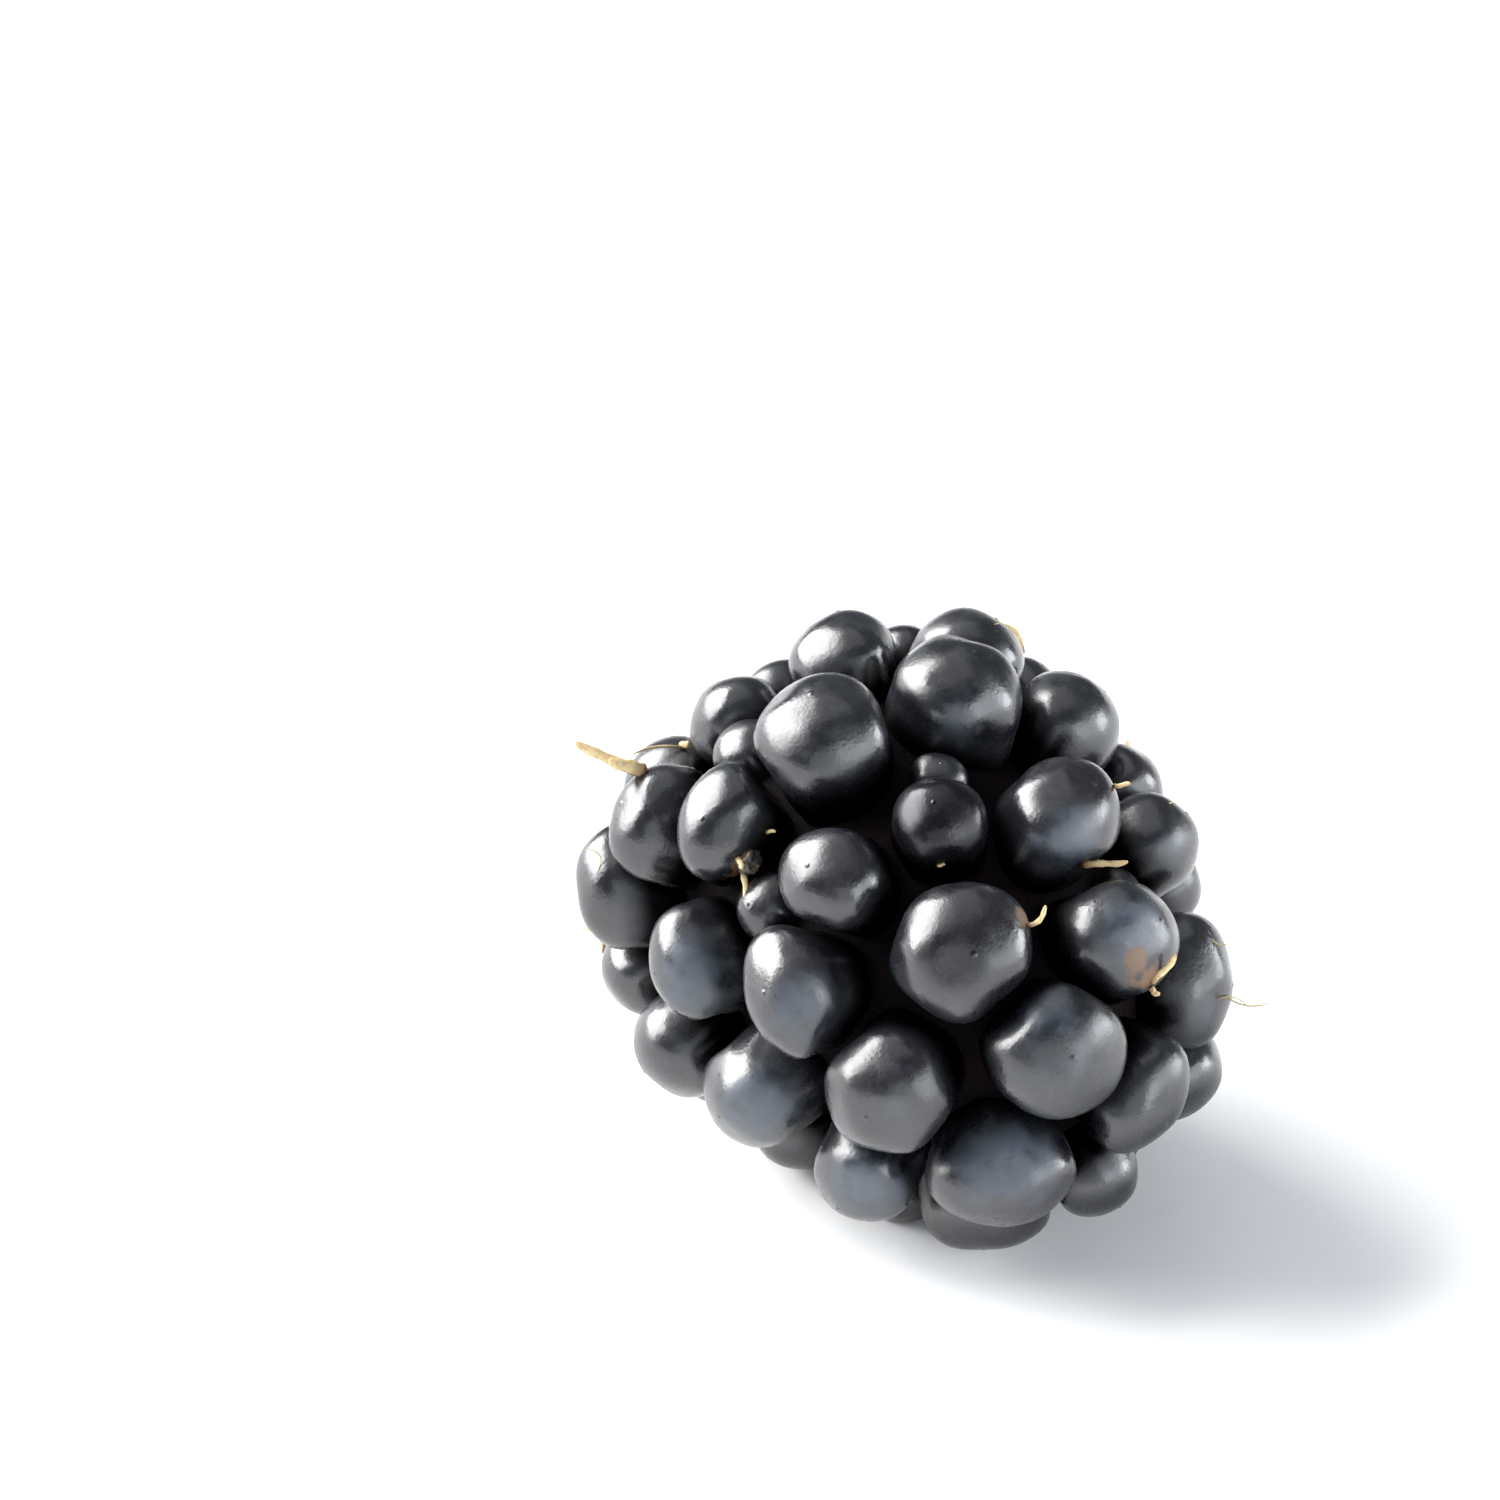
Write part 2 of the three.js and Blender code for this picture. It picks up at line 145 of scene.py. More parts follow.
RIM_DRUPELETS = [              # the same and how near the eye, for those on or round the rim
    (-2.6, 9.8, 2.0, 1.8, -0.6), (2.0, 9.95, 2.1, 1.7, -0.6), (5.6, 7.5, 2.0, 2.0, 0.8),
    (-6.6, 7.6, 1.9, 1.6, -0.8), (8.7, 3.1, 1.5, 1.9, 2.2), (-9.7, 3.8, 1.6, 2.2, 1.4),
    (9.8, -1.9, 1.8, 2.5, 3.5), (-10.9, 1.5, 1.6, 2.3, -0.8), (-8.6, -4.4, 1.6, 2.1, 0.0),
    (7.5, 5.0, 1.8, 1.8, -1.6), (9.0, 1.5, 1.6, 1.7, -2.0), (-10.0, -1.6, 1.7, 1.8, -3.2),
    (9.5, -5.3, 1.7, 1.9, 0.8), (-4.3, -7.3, 1.9, 1.8, -3.0), (6.6, -9.2, 1.6, 1.5, 3.1),
    (2.6, -10.1, 2.5, 1.7, 2.6), (-0.5, -9.4, 1.7, 1.5, -0.5), (-0.4, 9.8, 1.5, 1.4, -3.6),
    (4.0, 8.4, 1.7, 1.6, -4.2), (-4.8, 8.3, 1.6, 1.6, -3.6),
]
# The others: the spiral, how clear they keep of the placed ones and the cup, how they push
# each other apart, and the room, size and depth of the stunted ones.
SPIRAL_COUNT, SPIRAL_START, SPIRAL_SIZES, SPIRAL_SEED = 90, 2.31, (2.0, 2.4), 7
KEEP_CLEAR, KEEP_AROUND = 0.8, 0.1
RING_RADIUS, CUP_CLEAR = 4.6, 0.7
SPREAD_STEPS, SPREAD_REACH, SPREAD_RATE = 120, 1.2, 0.1
FINE_COUNT, SMALL_ROOM, SMALL_WIDEST, SMALL_DEPTH = 900, 1.1, 1.6, 1.3


def from_model(direction):
    """A direction of the model in the berry's own frame: the lean undone."""
    x, y, z = direction
    sine, cosine = math.sin(LEAN), math.cos(LEAN)
    return np.array([x * cosine - z * sine, y, z * cosine + x * sine])


eye, right_axis, up_axis = (from_model(axis) for axis in (facing, rightwards, upwards))


def unit(vectors):
    """Vectors divided by their lengths."""
    return vectors / np.linalg.norm(vectors, axis=-1, keepdims=True)


def egg_level(points):
    """1 on the egg that the drupelets' middles lie on, less inside it. In section each half
    is a superellipse: (along/reach)^power + (across/radius)^power, to the power 1/power."""
    along = points[..., 0] - EGG_WIDEST_X
    reach = np.where(along < 0, *EGG_REACH)
    power = np.where(along < 0, *EGG_POWER)
    across = np.hypot(points[..., 1], points[..., 2]) / EGG_RADIUS
    return (np.abs(along / reach) ** power + across ** power) ** (1 / power)


def egg_normal(points):
    """Outward direction, from small differences of the level along X, Y and Z."""
    steps = SLOPE_STEP * np.eye(3)
    slopes = [egg_level(points + step) - egg_level(points - step) for step in steps]
    return unit(np.stack(slopes, axis=-1))


def onto_egg(points):
    """Points moved to the egg, straight to or from the middle of its widest section."""
    centre = np.array([EGG_WIDEST_X, 0.0, 0.0])
    return (points - centre) / egg_level(points)[..., None] + centre


def slide_to_egg(places):
    """Places on the faced side, slid along the line of sight to where they meet the egg."""
    depths = SIGHT_START - SIGHT_STEP * np.arange(SIGHT_STEPS)
    lines = (places[:, :1, None] * right_axis + places[:, 1:2, None] * up_axis
             + depths[None, :, None] * eye)
    levels = egg_level(lines)
    first_inside = np.argmax(levels < 1, axis=1)
    nearest = np.argmin(levels, axis=1)
    pick = np.where((levels < 1).any(axis=1), first_inside, nearest)
    return lines[np.arange(len(places)), pick]


def placed_drupelets():
    """Middles, axes and half-widths of listed drupelets. The axes are the outward normal, the
    skin's direction seen at full length, and the one that leans away from the eye. The last
    half-width is the one that shows the listed size once it is foreshortened."""
    face, rim = np.array(FACE_DRUPELETS), np.array(RIM_DRUPELETS)
    rim_middles = rim[:, [0, 1, 4]] @ np.stack([right_axis, up_axis, eye])
    middles = np.concatenate([slide_to_egg(face), rim_middles])
    sizes = np.concatenate([face[:, 2:4], rim[:, 2:4]])
    normals = egg_normal(middles)
    sides = unit(np.cross(eye, normals))
    leans = np.cross(normals, sides)
    across, along = sides @ right_axis, sides @ up_axis
    seen_side = SWELL * np.hypot(sizes[:, 0] * across, sizes[:, 1] * along)
    seen_lean = SWELL * np.hypot(sizes[:, 0] * along, sizes[:, 1] * across)
    mean = np.maximum(seen_side, seen_lean)
    cosine = np.abs(normals @ eye)
    dome_seen = DOME_SHARE * mean * np.sqrt(1 - cosine ** 2)
    squared = np.maximum(0, seen_lean ** 2 - dome_seen ** 2) / np.maximum(cosine ** 2, LEAST_COSINE)
    lean_size = np.clip(np.sqrt(squared), LEAN_STRETCH[0] * mean, LEAN_STRETCH[1] * mean)
    return middles, np.stack([normals, sides, leans], axis=1), np.stack([seen_side, lean_size], axis=1)


DRAW_FACTOR, DRAW_PRIME = 16807, 2 ** 31 - 1


def draw_series(seed, count):
    """Repeatable draws between 0 and 1: each state is the last one times the factor, modulo
    the prime."""
    draws = []
    for _ in range(count):
        seed = seed * DRAW_FACTOR % DRAW_PRIME
        draws.append(seed / DRAW_PRIME)
    return np.array(draws)


def egg_spiral(count, start):
    """Points of a golden-angle spiral on the egg, from the tip to the stem end: evenly spaced
    along it, each turned pi (3 - sqrt 5) further round than the last."""
    k = np.arange(count)
    along = 1 - 2 * (k + 0.5) / count
    across = EGG_RADIUS * np.sqrt(1 - along ** 2)
    angle = start + math.pi * (3 - math.sqrt(5)) * k
    reach = np.where(along < 0, *EGG_REACH)
    return onto_egg(np.stack([EGG_WIDEST_X + reach * along, across * np.cos(angle),
                              across * np.sin(angle)], axis=1))


def spiral_drupelets(middles, widths):
    """Middles and half-widths of the other drupelets: the spiral's points, less those that
    crowd a placed one, sit over the cup or show on the faced side."""
    least, most = SPIRAL_SIZES
    sizes = least + (most - least) * draw_series(SPIRAL_SEED, SPIRAL_COUNT)
    points = egg_spiral(SPIRAL_COUNT, SPIRAL_START)
    gaps = np.linalg.norm(points[:, None] - middles, axis=2)
    crowded = (gaps < KEEP_CLEAR * (widths.mean(axis=1) + sizes[:, None])).any(axis=1)
    over_cup = (points[:, 0] < 0) & (np.hypot(points[:, 1], points[:, 2]) < RING_RADIUS * CUP_CLEAR)
    on_face = egg_normal(points) @ eye > KEEP_AROUND
    keep = ~(crowded | over_cup | on_face)
    return points[keep], np.stack([sizes, sizes], axis=1)[keep]


def outside_cup(points):
    """Points that strayed over the cup, moved back to the ring round it."""
    radius = np.hypot(points[:, 1], points[:, 2])
    power = EGG_POWER[0]
    ring_x = EGG_WIDEST_X - EGG_REACH[0] * (1 - (RING_RADIUS / EGG_RADIUS) ** power) ** (1 / power)
    grow = RING_RADIUS / radius
    ring = np.stack([np.full_like(radius, ring_x), points[:, 1] * grow, points[:, 2] * grow], axis=1)
    strayed = (points[:, 0] <= 0) & (radius < RING_RADIUS)
    return np.where(strayed[:, None], ring, points)


def spread_apart(middles, widths, held):
    """Middles after the free ones pushed each other apart: each step moves a free one away
    from every other within reach, by a share of what they lack, and back onto the egg."""
    sizes = widths.mean(axis=1)
    for _ in range(SPREAD_STEPS):
        apart = middles[:, None] - middles
        distance = np.linalg.norm(apart, axis=2)
        np.fill_diagonal(distance, np.inf)
        lack = np.maximum(0, SPREAD_REACH * (sizes[:, None] + sizes) - distance)
        push = (apart / distance[..., None] * (SPREAD_RATE * lack)[..., None]).sum(axis=1)
        middles = np.where(held[:, None], middles, outside_cup(onto_egg(middles + push)))
    return middles


def small_drupelets(middles, widths):
    """Middles and half-widths of stunted drupelets: again and again, the point of a fine
    spiral on the egg that has most room round it gets one, until no gap is wide enough."""
    points = egg_spiral(FINE_COUNT, 0)
    points = points[(points[:, 0] > 0) | (np.hypot(points[:, 1], points[:, 2]) > RING_RADIUS)]
    sizes = widths.mean(axis=1)
    room = (np.linalg.norm(points[:, None] - middles, axis=2) - sizes).min(axis=1)
    chosen, chosen_sizes = [], []
    while room.max() > SMALL_ROOM:
        best = np.argmax(room)
        chosen.append(points[best])
        chosen_sizes.append(min(room[best], SMALL_WIDEST))
        room = np.minimum(room, np.linalg.norm(points - points[best], axis=1) - chosen_sizes[-1])
    chosen = np.array(chosen) - SMALL_DEPTH * egg_normal(np.array(chosen))
    return chosen, np.stack([chosen_sizes, chosen_sizes], axis=1)


def all_drupelets():
    """Middles, axes and half-widths of every drupelet on the fruit."""
    middles, axes, widths = placed_drupelets()
    free_middles, free_widths = spiral_drupelets(middles, widths)
    held = np.arange(len(middles) + len(free_middles)) < len(middles)
    widths = np.concatenate([widths, free_widths])
    middles = spread_apart(np.concatenate([middles, free_middles]), widths, held)
    small_middles, small_widths = small_drupelets(middles, widths)
    middles, widths = np.concatenate([middles, small_middles]), np.concatenate([widths, small_widths])
    normals = egg_normal(middles[len(axes):])
    sides = unit(np.cross([1.0, 0.0, 0.0], normals))
    axes = np.concatenate([axes, np.stack([normals, sides, np.cross(normals, sides)], axis=1)])
    return middles, axes, widths


middles, axes, widths = all_drupelets()
half_widths = widths.mean(axis=1)


def free_reach(k, directions):
    """Distance from drupelet k's middle to its free skin along unit directions. The outer
    half is a low half-ellipsoid. The inner half is a superellipsoid, whose flanks go almost
    straight down before they close: (down/depth)^p + (across/half-width)^p = reach^-p."""
    out, side, lean = np.moveaxis(directions @ axes[k].T, -1, 0)
    share = np.clip(-out / SPREAD_DEPTH, 0, 1)
    spread = 1 + ROOT_SPREAD * share ** 2 * (3 - 2 * share)
    across = np.hypot(side / widths[k, 0], lean / widths[k, 1]) / spread
    dome = np.hypot(out / (DOME_SHARE * half_widths[k]), across)
    root = ((-np.minimum(out, 0) / (ROOT_SHARE * half_widths[k])) ** ROOT_POWER
            + across ** ROOT_POWER) ** (1 / ROOT_POWER)
    return 1 / np.where(out > 0, dome, root)


def pressed_reach(k, directions):
    """The free reach, drawn in where neighbours press: with each neighbour's plane at
    distance d along n, reach = (free^-p + sum of (max(0, u.n) / d)^p)^(-1/p)."""
    others = np.delete(np.arange(len(middles)), k)
    apart = middles[others] - middles[k]
    distance = np.linalg.norm(apart, axis=1)
    towards = apart / distance[:, None]
    mine = free_reach(k, towards)
    theirs = np.array([free_reach(j, -towards[i]) for i, j in enumerate(others)])
    planes = distance * mine / (mine + theirs) - CREVICE / 2
    pressed = np.maximum(0, directions @ towards.T) / planes
    total = free_reach(k, directions) ** -PRESS_POWER + (pressed ** PRESS_POWER).sum(axis=-1)
    return total ** (-1 / PRESS_POWER)


def grid_faces(rows, columns, copies=1):
    """Faces of grids whose columns wrap round: their quads, then the fans that close the first
    and last rows. Vertices are row by row, then the two poles, and grid after grid."""
    r, c = np.meshgrid(np.arange(rows - 1), np.arange(columns), indexing="ij")
    here, right = r * columns + c, r * columns + (c + 1) % columns
    quads = np.stack([here, here + columns, right + columns, right], axis=-1).reshape(-1, 4)
    ring = np.arange(columns)
    following = (ring + 1) % columns
    top, root = rows * columns, rows * columns + 1
    last = (rows - 1) * columns
    fans = np.concatenate([np.stack([np.full(columns, top), ring, following], axis=1),
                           np.stack([np.full(columns, root), last + following, last + ring], axis=1)])
    starts = (rows * columns + 2) * np.arange(copies)[:, None, None]
    return (quads + starts).reshape(-1, 4).tolist() + (fans + starts).reshape(-1, 3).tolist()


def mesh_from(name, vertices, faces):
    """A smooth-shaded object of vertices in metres and lists of faces."""
    mesh = bpy.data.meshes.new(name)
    mesh.from_pydata(vertices.tolist(), [], faces)
    mesh.validate()
    mesh.shade_smooth()
    thing = bpy.data.objects.new(name, mesh)
    bpy.context.collection.objects.link(thing)
    return thing


WAVES, WAVE_SPREAD = 32, (0.7, 1.4)     # in a field of lumps, and their least and most pace


def lumps(points, height, size, seed):
    """A smooth random field of about -height to height: height times the sum of cosines of
    random direction and phase, with wavelengths near size, over the root of half their number."""
    draw = np.random.default_rng(seed)
    ways = unit(draw.normal(size=(WAVES, 3)))
    waves = 2 * math.pi / size * ways * draw.uniform(*WAVE_SPREAD, (WAVES, 1))
    phases = draw.uniform(0, 2 * math.pi, WAVES)
    return height * np.cos(points @ waves.T + phases).sum(axis=1) / math.sqrt(WAVES / 2)


SCAR_ROWS = (1.2, 2.4, 3.6, 5.0, 7.0)   # degrees from the drupelet's own tip
DOME_ROWS, DOME_COLUMNS = 25, 44
SCAR_WIDTH, SCAR_HEIGHT, SCAR_DENT = math.radians(4), 0.03, 0.008
TIP_WANDER, TIP_SEED = 0.15, 5          # how far the tip strays from the outward normal
SKIN_LUMPS = (0.018, 2.6, 3)            # height as a share of the reach, size and seed
FLAT_DEPTH, FLAT_POWER, FLAT_REACH = 0.07, 10, 1.3


def skin_rays():
    """Unit directions of one drupelet's grid from its tip: rings close together round the
    style scar, then evenly spaced, each of DOME_COLUMNS points, then the two poles."""
    rest = np.linspace(math.radians(SCAR_ROWS[-1]), math.pi, DOME_ROWS + 2)[1:-1]
    fall = np.concatenate([np.radians(SCAR_ROWS), rest])
    turn = np.linspace(0, 2 * math.pi, DOME_COLUMNS, endpoint=False)
    fall, turn = (grid.ravel() for grid in np.meshgrid(fall, turn, indexing="ij"))
    rays = np.stack([np.cos(fall), np.sin(fall) * np.cos(turn), np.sin(fall) * np.sin(turn)], axis=1)
    return np.concatenate([rays, [[1.0, 0, 0], [-1.0, 0, 0]]]), np.concatenate([fall, [0, math.pi]])


def scar_height(fall):
    """The style scar on a drupelet's tip: a nub, (1 - (fall/width)^2)^2 high, in a shallow
    dent, (1 - (fall/3 widths)^2)^2 deep."""
    nub = np.clip(1 - (fall / SCAR_WIDTH) ** 2, 0, 1) ** 2
    dent = np.clip(1 - (fall / (3 * SCAR_WIDTH)) ** 2, 0, 1) ** 2
    return (SCAR_HEIGHT + SCAR_DENT) * nub - SCAR_DENT * dent


def flattened(k, directions):
    """Share of the reach that is left where drupelet k flattens towards its neighbours: 1 less
    the depth times the sum over near neighbours of max(0, u.n)^power. Only the ripest ones,
    on the faced side, stand so clear of each other."""
    if k >= len(FACE_DRUPELETS):
        return np.ones(len(directions))
    apart = middles - middles[k]
    distance = np.linalg.norm(apart, axis=1)
    near = (distance > 0) & (distance < FLAT_REACH * (half_widths + half_widths[k]))
    towards = apart[near] / distance[near, None]
    return 1 - FLAT_DEPTH * (np.maximum(0, directions @ towards.T) ** FLAT_POWER).sum(axis=1)


def drupelet_skins():
    """Skin points, heights above the middle in half-widths, and faces of every drupelet: on
    each ray the pressed reach, a little uneven, with the scar on the drupelet's tip."""
    rays, fall = skin_rays()
    wander = np.random.default_rng(TIP_SEED).normal(0, TIP_WANDER, (len(middles), 2))
    points, heights = [], []
    for k, (normal, side, lean) in enumerate(axes):
        tip = unit(normal + wander[k, 0] * side + wander[k, 1] * lean)
        across = unit(np.cross(tip, lean))
        directions = rays @ np.stack([tip, across, np.cross(tip, across)])
        uneven = 1 + lumps(middles[k] + half_widths[k] * directions, *SKIN_LUMPS)
        reach = pressed_reach(k, directions) * flattened(k, directions) * uneven + scar_height(fall)
        points.append(middles[k] + directions * reach[:, None])
        heights.append((directions @ normal) * reach / half_widths[k])
    faces = grid_faces(DOME_ROWS + len(SCAR_ROWS), DOME_COLUMNS, len(middles))
    return np.concatenate(points), np.concatenate(heights), faces


LEAST_RADIUS = 1e-6            # so that no point on the axis is divided by 0


def clear_of_cup(points):
    """Points of the inner flanks moved straight out to the wall of the stem-end cup."""
    radius = np.maximum(np.hypot(points[:, 1], points[:, 2]), LEAST_RADIUS)
    grow = np.maximum(1, cup_radius(points[:, 0]) / radius)
    outwards = np.stack([np.ones_like(grow), grow, grow], axis=1)
    return points * np.where(points[:, :1] < CUP["floor_x"], outwards, 1)


skin_points, skin_heights, skin_faces = drupelet_skins()
skin_points = clear_of_cup(skin_points)
resting = in_model(skin_points)
resting[:, 2] = np.maximum(resting[:, 2], 0)
drupelets = mesh_from("drupelet_skins", resting, skin_faces)


NEARNESS = 8                   # how much more an aside counts than a depth


def seen_point(right, up):
    """The skin point seen nearest to a place on the faced side: the one with the greatest
    depth towards the eye, less its distance from the line of sight times the nearness."""
    depth = skin_points @ eye
    shrink = 1 - depth * MM / CAMERA_DISTANCE
    aside = np.hypot(skin_points @ right_axis - right * shrink, skin_points @ up_axis - up * shrink)
    return skin_points[np.argmax(depth - NEARNESS * aside)]


def patch_mask(patches):
    """Each patch's strength at its centre, falling to 0 at its radius, from rows of right,
    up, radius and strength: the greatest of strength (1 - distance/radius)."""
    patches = np.array(patches)
    centres = np.array([seen_point(right, up) for right, up in patches[:, :2]])
    distance = np.linalg.norm(skin_points[:, None] - centres, axis=2)
    return (patches[:, 3] * np.clip(1 - distance / patches[:, 2], 0, 1)).max(axis=1)


def paint(thing, name, values):
    """Stores one number for each vertex under a name that a material can read."""
    attribute = thing.data.attributes.new(name, "FLOAT", "POINT")
    attribute.data.foreach_set("value", np.asarray(values, np.float32))


# Patches on the faced side, as right, up, radius and strength: browned where a style dried on;
# paler and bluish, partly wax bloom and partly painted light; or darkened as painted shade.
WITHERED = [(-6.7, 2.2, 1.0, 1), (8.5, -1.8, 1.0, 1), (8.1, -1.2, 0.7, 1), (4.0, 0.5, 0.6, 1)]
BLOOM_AND_LIGHT_PATCHES = [
    (8.0, 0.0, 2.4, 1), (8.9, 2.3, 1.8, 1), (10.3, -3.4, 1.8, 1), (5.6, 3.1, 2.1, 1.3),
    (3.2, -8.4, 3.2, 1.2), (-8.2, -1.7, 2.3, 1.3), (-5.9, -6.8, 2.4, 1.4), (-4.2, -3.0, 2.2, 0.9),
    (-0.8, -6.6, 2.2, 0.45), (5.2, -5.4, 2.4, 0.4), (-10.3, 0.6, 1.8, 0.5), (-1.8, -9.7, 2.2, 1.3),
    (4.6, -3.2, 2.0, 0.9), (1.4, 7.6, 1.8, 0.7),
]
# Patches darkened as painted shade: metallic 1 on the near-black colour takes their shine away.
SHADE_PATCHES = [(0.8, 3.9, 2.6, 2.0), (0.8, 4.9, 1.6, 1.5), (1.6, -0.8, 2.6, 0.3)]
# How far down, in half-widths, the flanks stay free of the painted crevice shade and the painted
# flank reflection: of single drupelets by their place in the first list, of the other listed ones, and of
# the rest.
UNSHADED_FLANKS = {14: 0.5, 8: 0.45, 10: 0.5, 1: 0.35, 9: 0.25, 11: 0.1, 15: 0.5, 3: 0.3}
LISTED_UNSHADED_FLANKS, OTHER_UNSHADED_FLANKS = 0.05, 0.3
RIPENESS_SEED = 17
listed = np.arange(len(middles)) < len(FACE_DRUPELETS) + len(RIM_DRUPELETS)
unshaded_flanks = np.where(listed, LISTED_UNSHADED_FLANKS, OTHER_UNSHADED_FLANKS)
unshaded_flanks[list(UNSHADED_FLANKS)] = list(UNSHADED_FLANKS.values())
points_each = len(skin_points) // len(middles)
# This height, lifted by those shares, is the mask of the painted crevice shade and flank reflection.
paint(drupelets, "height", skin_heights + np.repeat(unshaded_flanks, points_each))
paint(drupelets, "withered", patch_mask(WITHERED))
# Paler bluish patches: partly wax bloom, partly painted light on drupelets' lower and upper halves.
paint(drupelets, "bloom_and_light", patch_mask(BLOOM_AND_LIGHT_PATCHES))
paint(drupelets, "shade_patch", np.minimum(patch_mask(SHADE_PATCHES), 1))
paint(drupelets, "ripeness", np.repeat(draw_series(RIPENESS_SEED, len(middles)), points_each))

# The crevice colour is painted shade at the foot of the flanks.
SKIN_COLOUR, CREVICE_SHADE_COLOUR = (0.004, 0.004, 0.006, 1), (0.0034, 0.0028, 0.0034, 1)
# The bloom colour is partly wax bloom and partly painted light.
REDDER_COLOUR, BLOOM_AND_LIGHT_COLOUR = (0.006, 0.0035, 0.006, 1), (0.05, 0.065, 0.09, 1)
# The flank colour is a paler bluish painted reflection of the white table.
WITHERED_COLOUR, FLANK_REFLECTION_COLOUR = (0.15, 0.075, 0.03, 1), (0.01, 0.011, 0.014, 1)
SKIN_IOR = 1.75
PORES = dict(size=0.16, detail=2.0, depth=0.011)
RAGGED = dict(size=1.1, detail=3.0, low=0.25, high=0.6)
BLOOM_AND_LIGHT_BLOTCHES = dict(size=1.1, detail=3.0, low=0.3, high=0.7, least=0.4)
MOTTLED = dict(size=0.4, detail=4.0, low=0.4, high=0.75, least=0.05, most=0.22)
SATIN = dict(size=1.1, detail=3.0, low=0.3, high=0.7, least=0.21, most=0.35)
# Steps of the painted numbers: from, to, least and most.
REDDER_STEP, FLANK_REFLECTION_STEP, CREVICE_SHADE_STEP = (0.6, 1.0), (0.1, 0.6), (-0.35, 0.25)
BLOOM_AND_LIGHT_STEP, WITHERED_STEP = (0.05, 0.7, 0.0, 0.8), (0.08, 0.5, 0.0, 0.85)
SHADE_PATCH_STEP = (0.0, 0.6, 0.0, 0.6)
BLOOM_ROUGHNESS, WITHERED_ROUGHNESS = (0.0, 0.8, 0.0, 0.2), (0.1, 0.3, 0.0, 0.6)


def new_material(name):
    """A new material, its node tree and its one shader."""
    material = bpy.data.materials.new(name)
    material.use_nodes = True
    return material, material.node_tree, material.node_tree.nodes["Principled BSDF"]


def feed(tree, value, socket):
    """Gives a socket another node's output, or sets it to a number or a colour."""
    if isinstance(value, (float, tuple)):
        socket.default_value = value
    else:
        tree.links.new(value, socket)


def painted(tree, name):
    """Output of a node that reads one of the painted numbers."""
    node = tree.nodes.new("ShaderNodeAttribute")
    node.attribute_name = name
    return node.outputs["Fac"]


def step(tree, value, low, high, least=0.0, most=1.0):
    """Smooth step from least to most as value goes from low to high."""
    node = tree.nodes.new("ShaderNodeMapRange")
    node.interpolation_type = "SMOOTHSTEP"
    numbers = {"Value": value, "From Min": low, "From Max": high, "To Min": least, "To Max": most}
    for name, number in numbers.items():
        feed(tree, number, node.inputs[name])
    return node.outputs["Result"]


def blend(tree, factor, first, second):
    """Mix of two colours, each an RGBA tuple or another node's output."""
    node = tree.nodes.new("ShaderNodeMix")
    node.data_type = "RGBA"
    for socket, value in zip((node.inputs[0], node.inputs[6], node.inputs[7]), (factor, first, second)):
        feed(tree, value, socket)
    return node.outputs[2]


def combine(tree, operation, first, second):
    """A maths node on two outputs or numbers."""
    node = tree.nodes.new("ShaderNodeMath")
    node.operation = operation
    feed(tree, first, node.inputs[0])
    feed(tree, second, node.inputs[1])
    return node.outputs[0]


def empty_group(name, inputs, output, kind):
    """A shader node group with named number inputs and one output, and its two ends."""
    group = bpy.data.node_groups.new(name, "ShaderNodeTree")
    for label in inputs:
        group.interface.new_socket(label, in_out="INPUT", socket_type="NodeSocketFloat")
    group.interface.new_socket(output, in_out="OUTPUT", socket_type=kind)
    return group, group.nodes.new("NodeGroupInput").outputs, group.nodes.new("NodeGroupOutput").inputs


def grains(group, size, detail):
    """Output of a noise whose grains are about size millimetres across, fixed to the piece."""
    texture = group.nodes.new("ShaderNodeTexNoise")
    feed(group, group.nodes.new("ShaderNodeTexCoord").outputs["Object"], texture.inputs["Vector"])
    feed(group, combine(group, "DIVIDE", 1 / MM, size), texture.inputs["Scale"])
    feed(group, detail, texture.inputs["Detail"])
    return texture.outputs["Fac"]


def blotches_group():
    """Soft-edged blotches as a mask: the smooth step of grains of the given size."""
    group, given, out = empty_group("blotches", ("Size", "Detail", "Low", "High", "Least", "Most"),
                                    "Mask", "NodeSocketFloat")
    mask = step(group, grains(group, given["Size"], given["Detail"]),
                given["Low"], given["High"], given["Least"], given["Most"])
    feed(group, mask, out["Mask"])
    return group


def relief_group():
    """Fine relief as a normal: grains of the given size that stand Depth millimetres high."""
    group, given, out = empty_group("fine_relief", ("Size", "Detail", "Depth"),
                                    "Normal", "NodeSocketVector")
    bump = group.nodes.new("ShaderNodeBump")
    feed(group, combine(group, "MULTIPLY", given["Depth"], MM), bump.inputs["Distance"])
    feed(group, grains(group, given["Size"], given["Detail"]), bump.inputs["Height"])
    feed(group, bump.outputs["Normal"], out["Normal"])
    return group


blotches, fine_relief = blotches_group(), relief_group()


def place_group(tree, group, *values):
    """Output of a group placed in a material, with its own value for each input in turn."""
    node = tree.nodes.new("ShaderNodeGroup")
    node.node_tree = group
    for socket, value in zip(node.inputs, values):
        socket.default_value = value
    return node.outputs[0]


def blotchy(tree, size, detail, low, high, least=0.0, most=1.0):
    """Mask of the blotches group for one material."""
    return place_group(tree, blotches, size, detail, low, high, least, most)


def roughen(tree, shader, size, detail, depth):
    """Gives a shader the normal of the fine relief group."""
    feed(tree, place_group(tree, fine_relief, size, detail, depth), shader.inputs["Normal"])


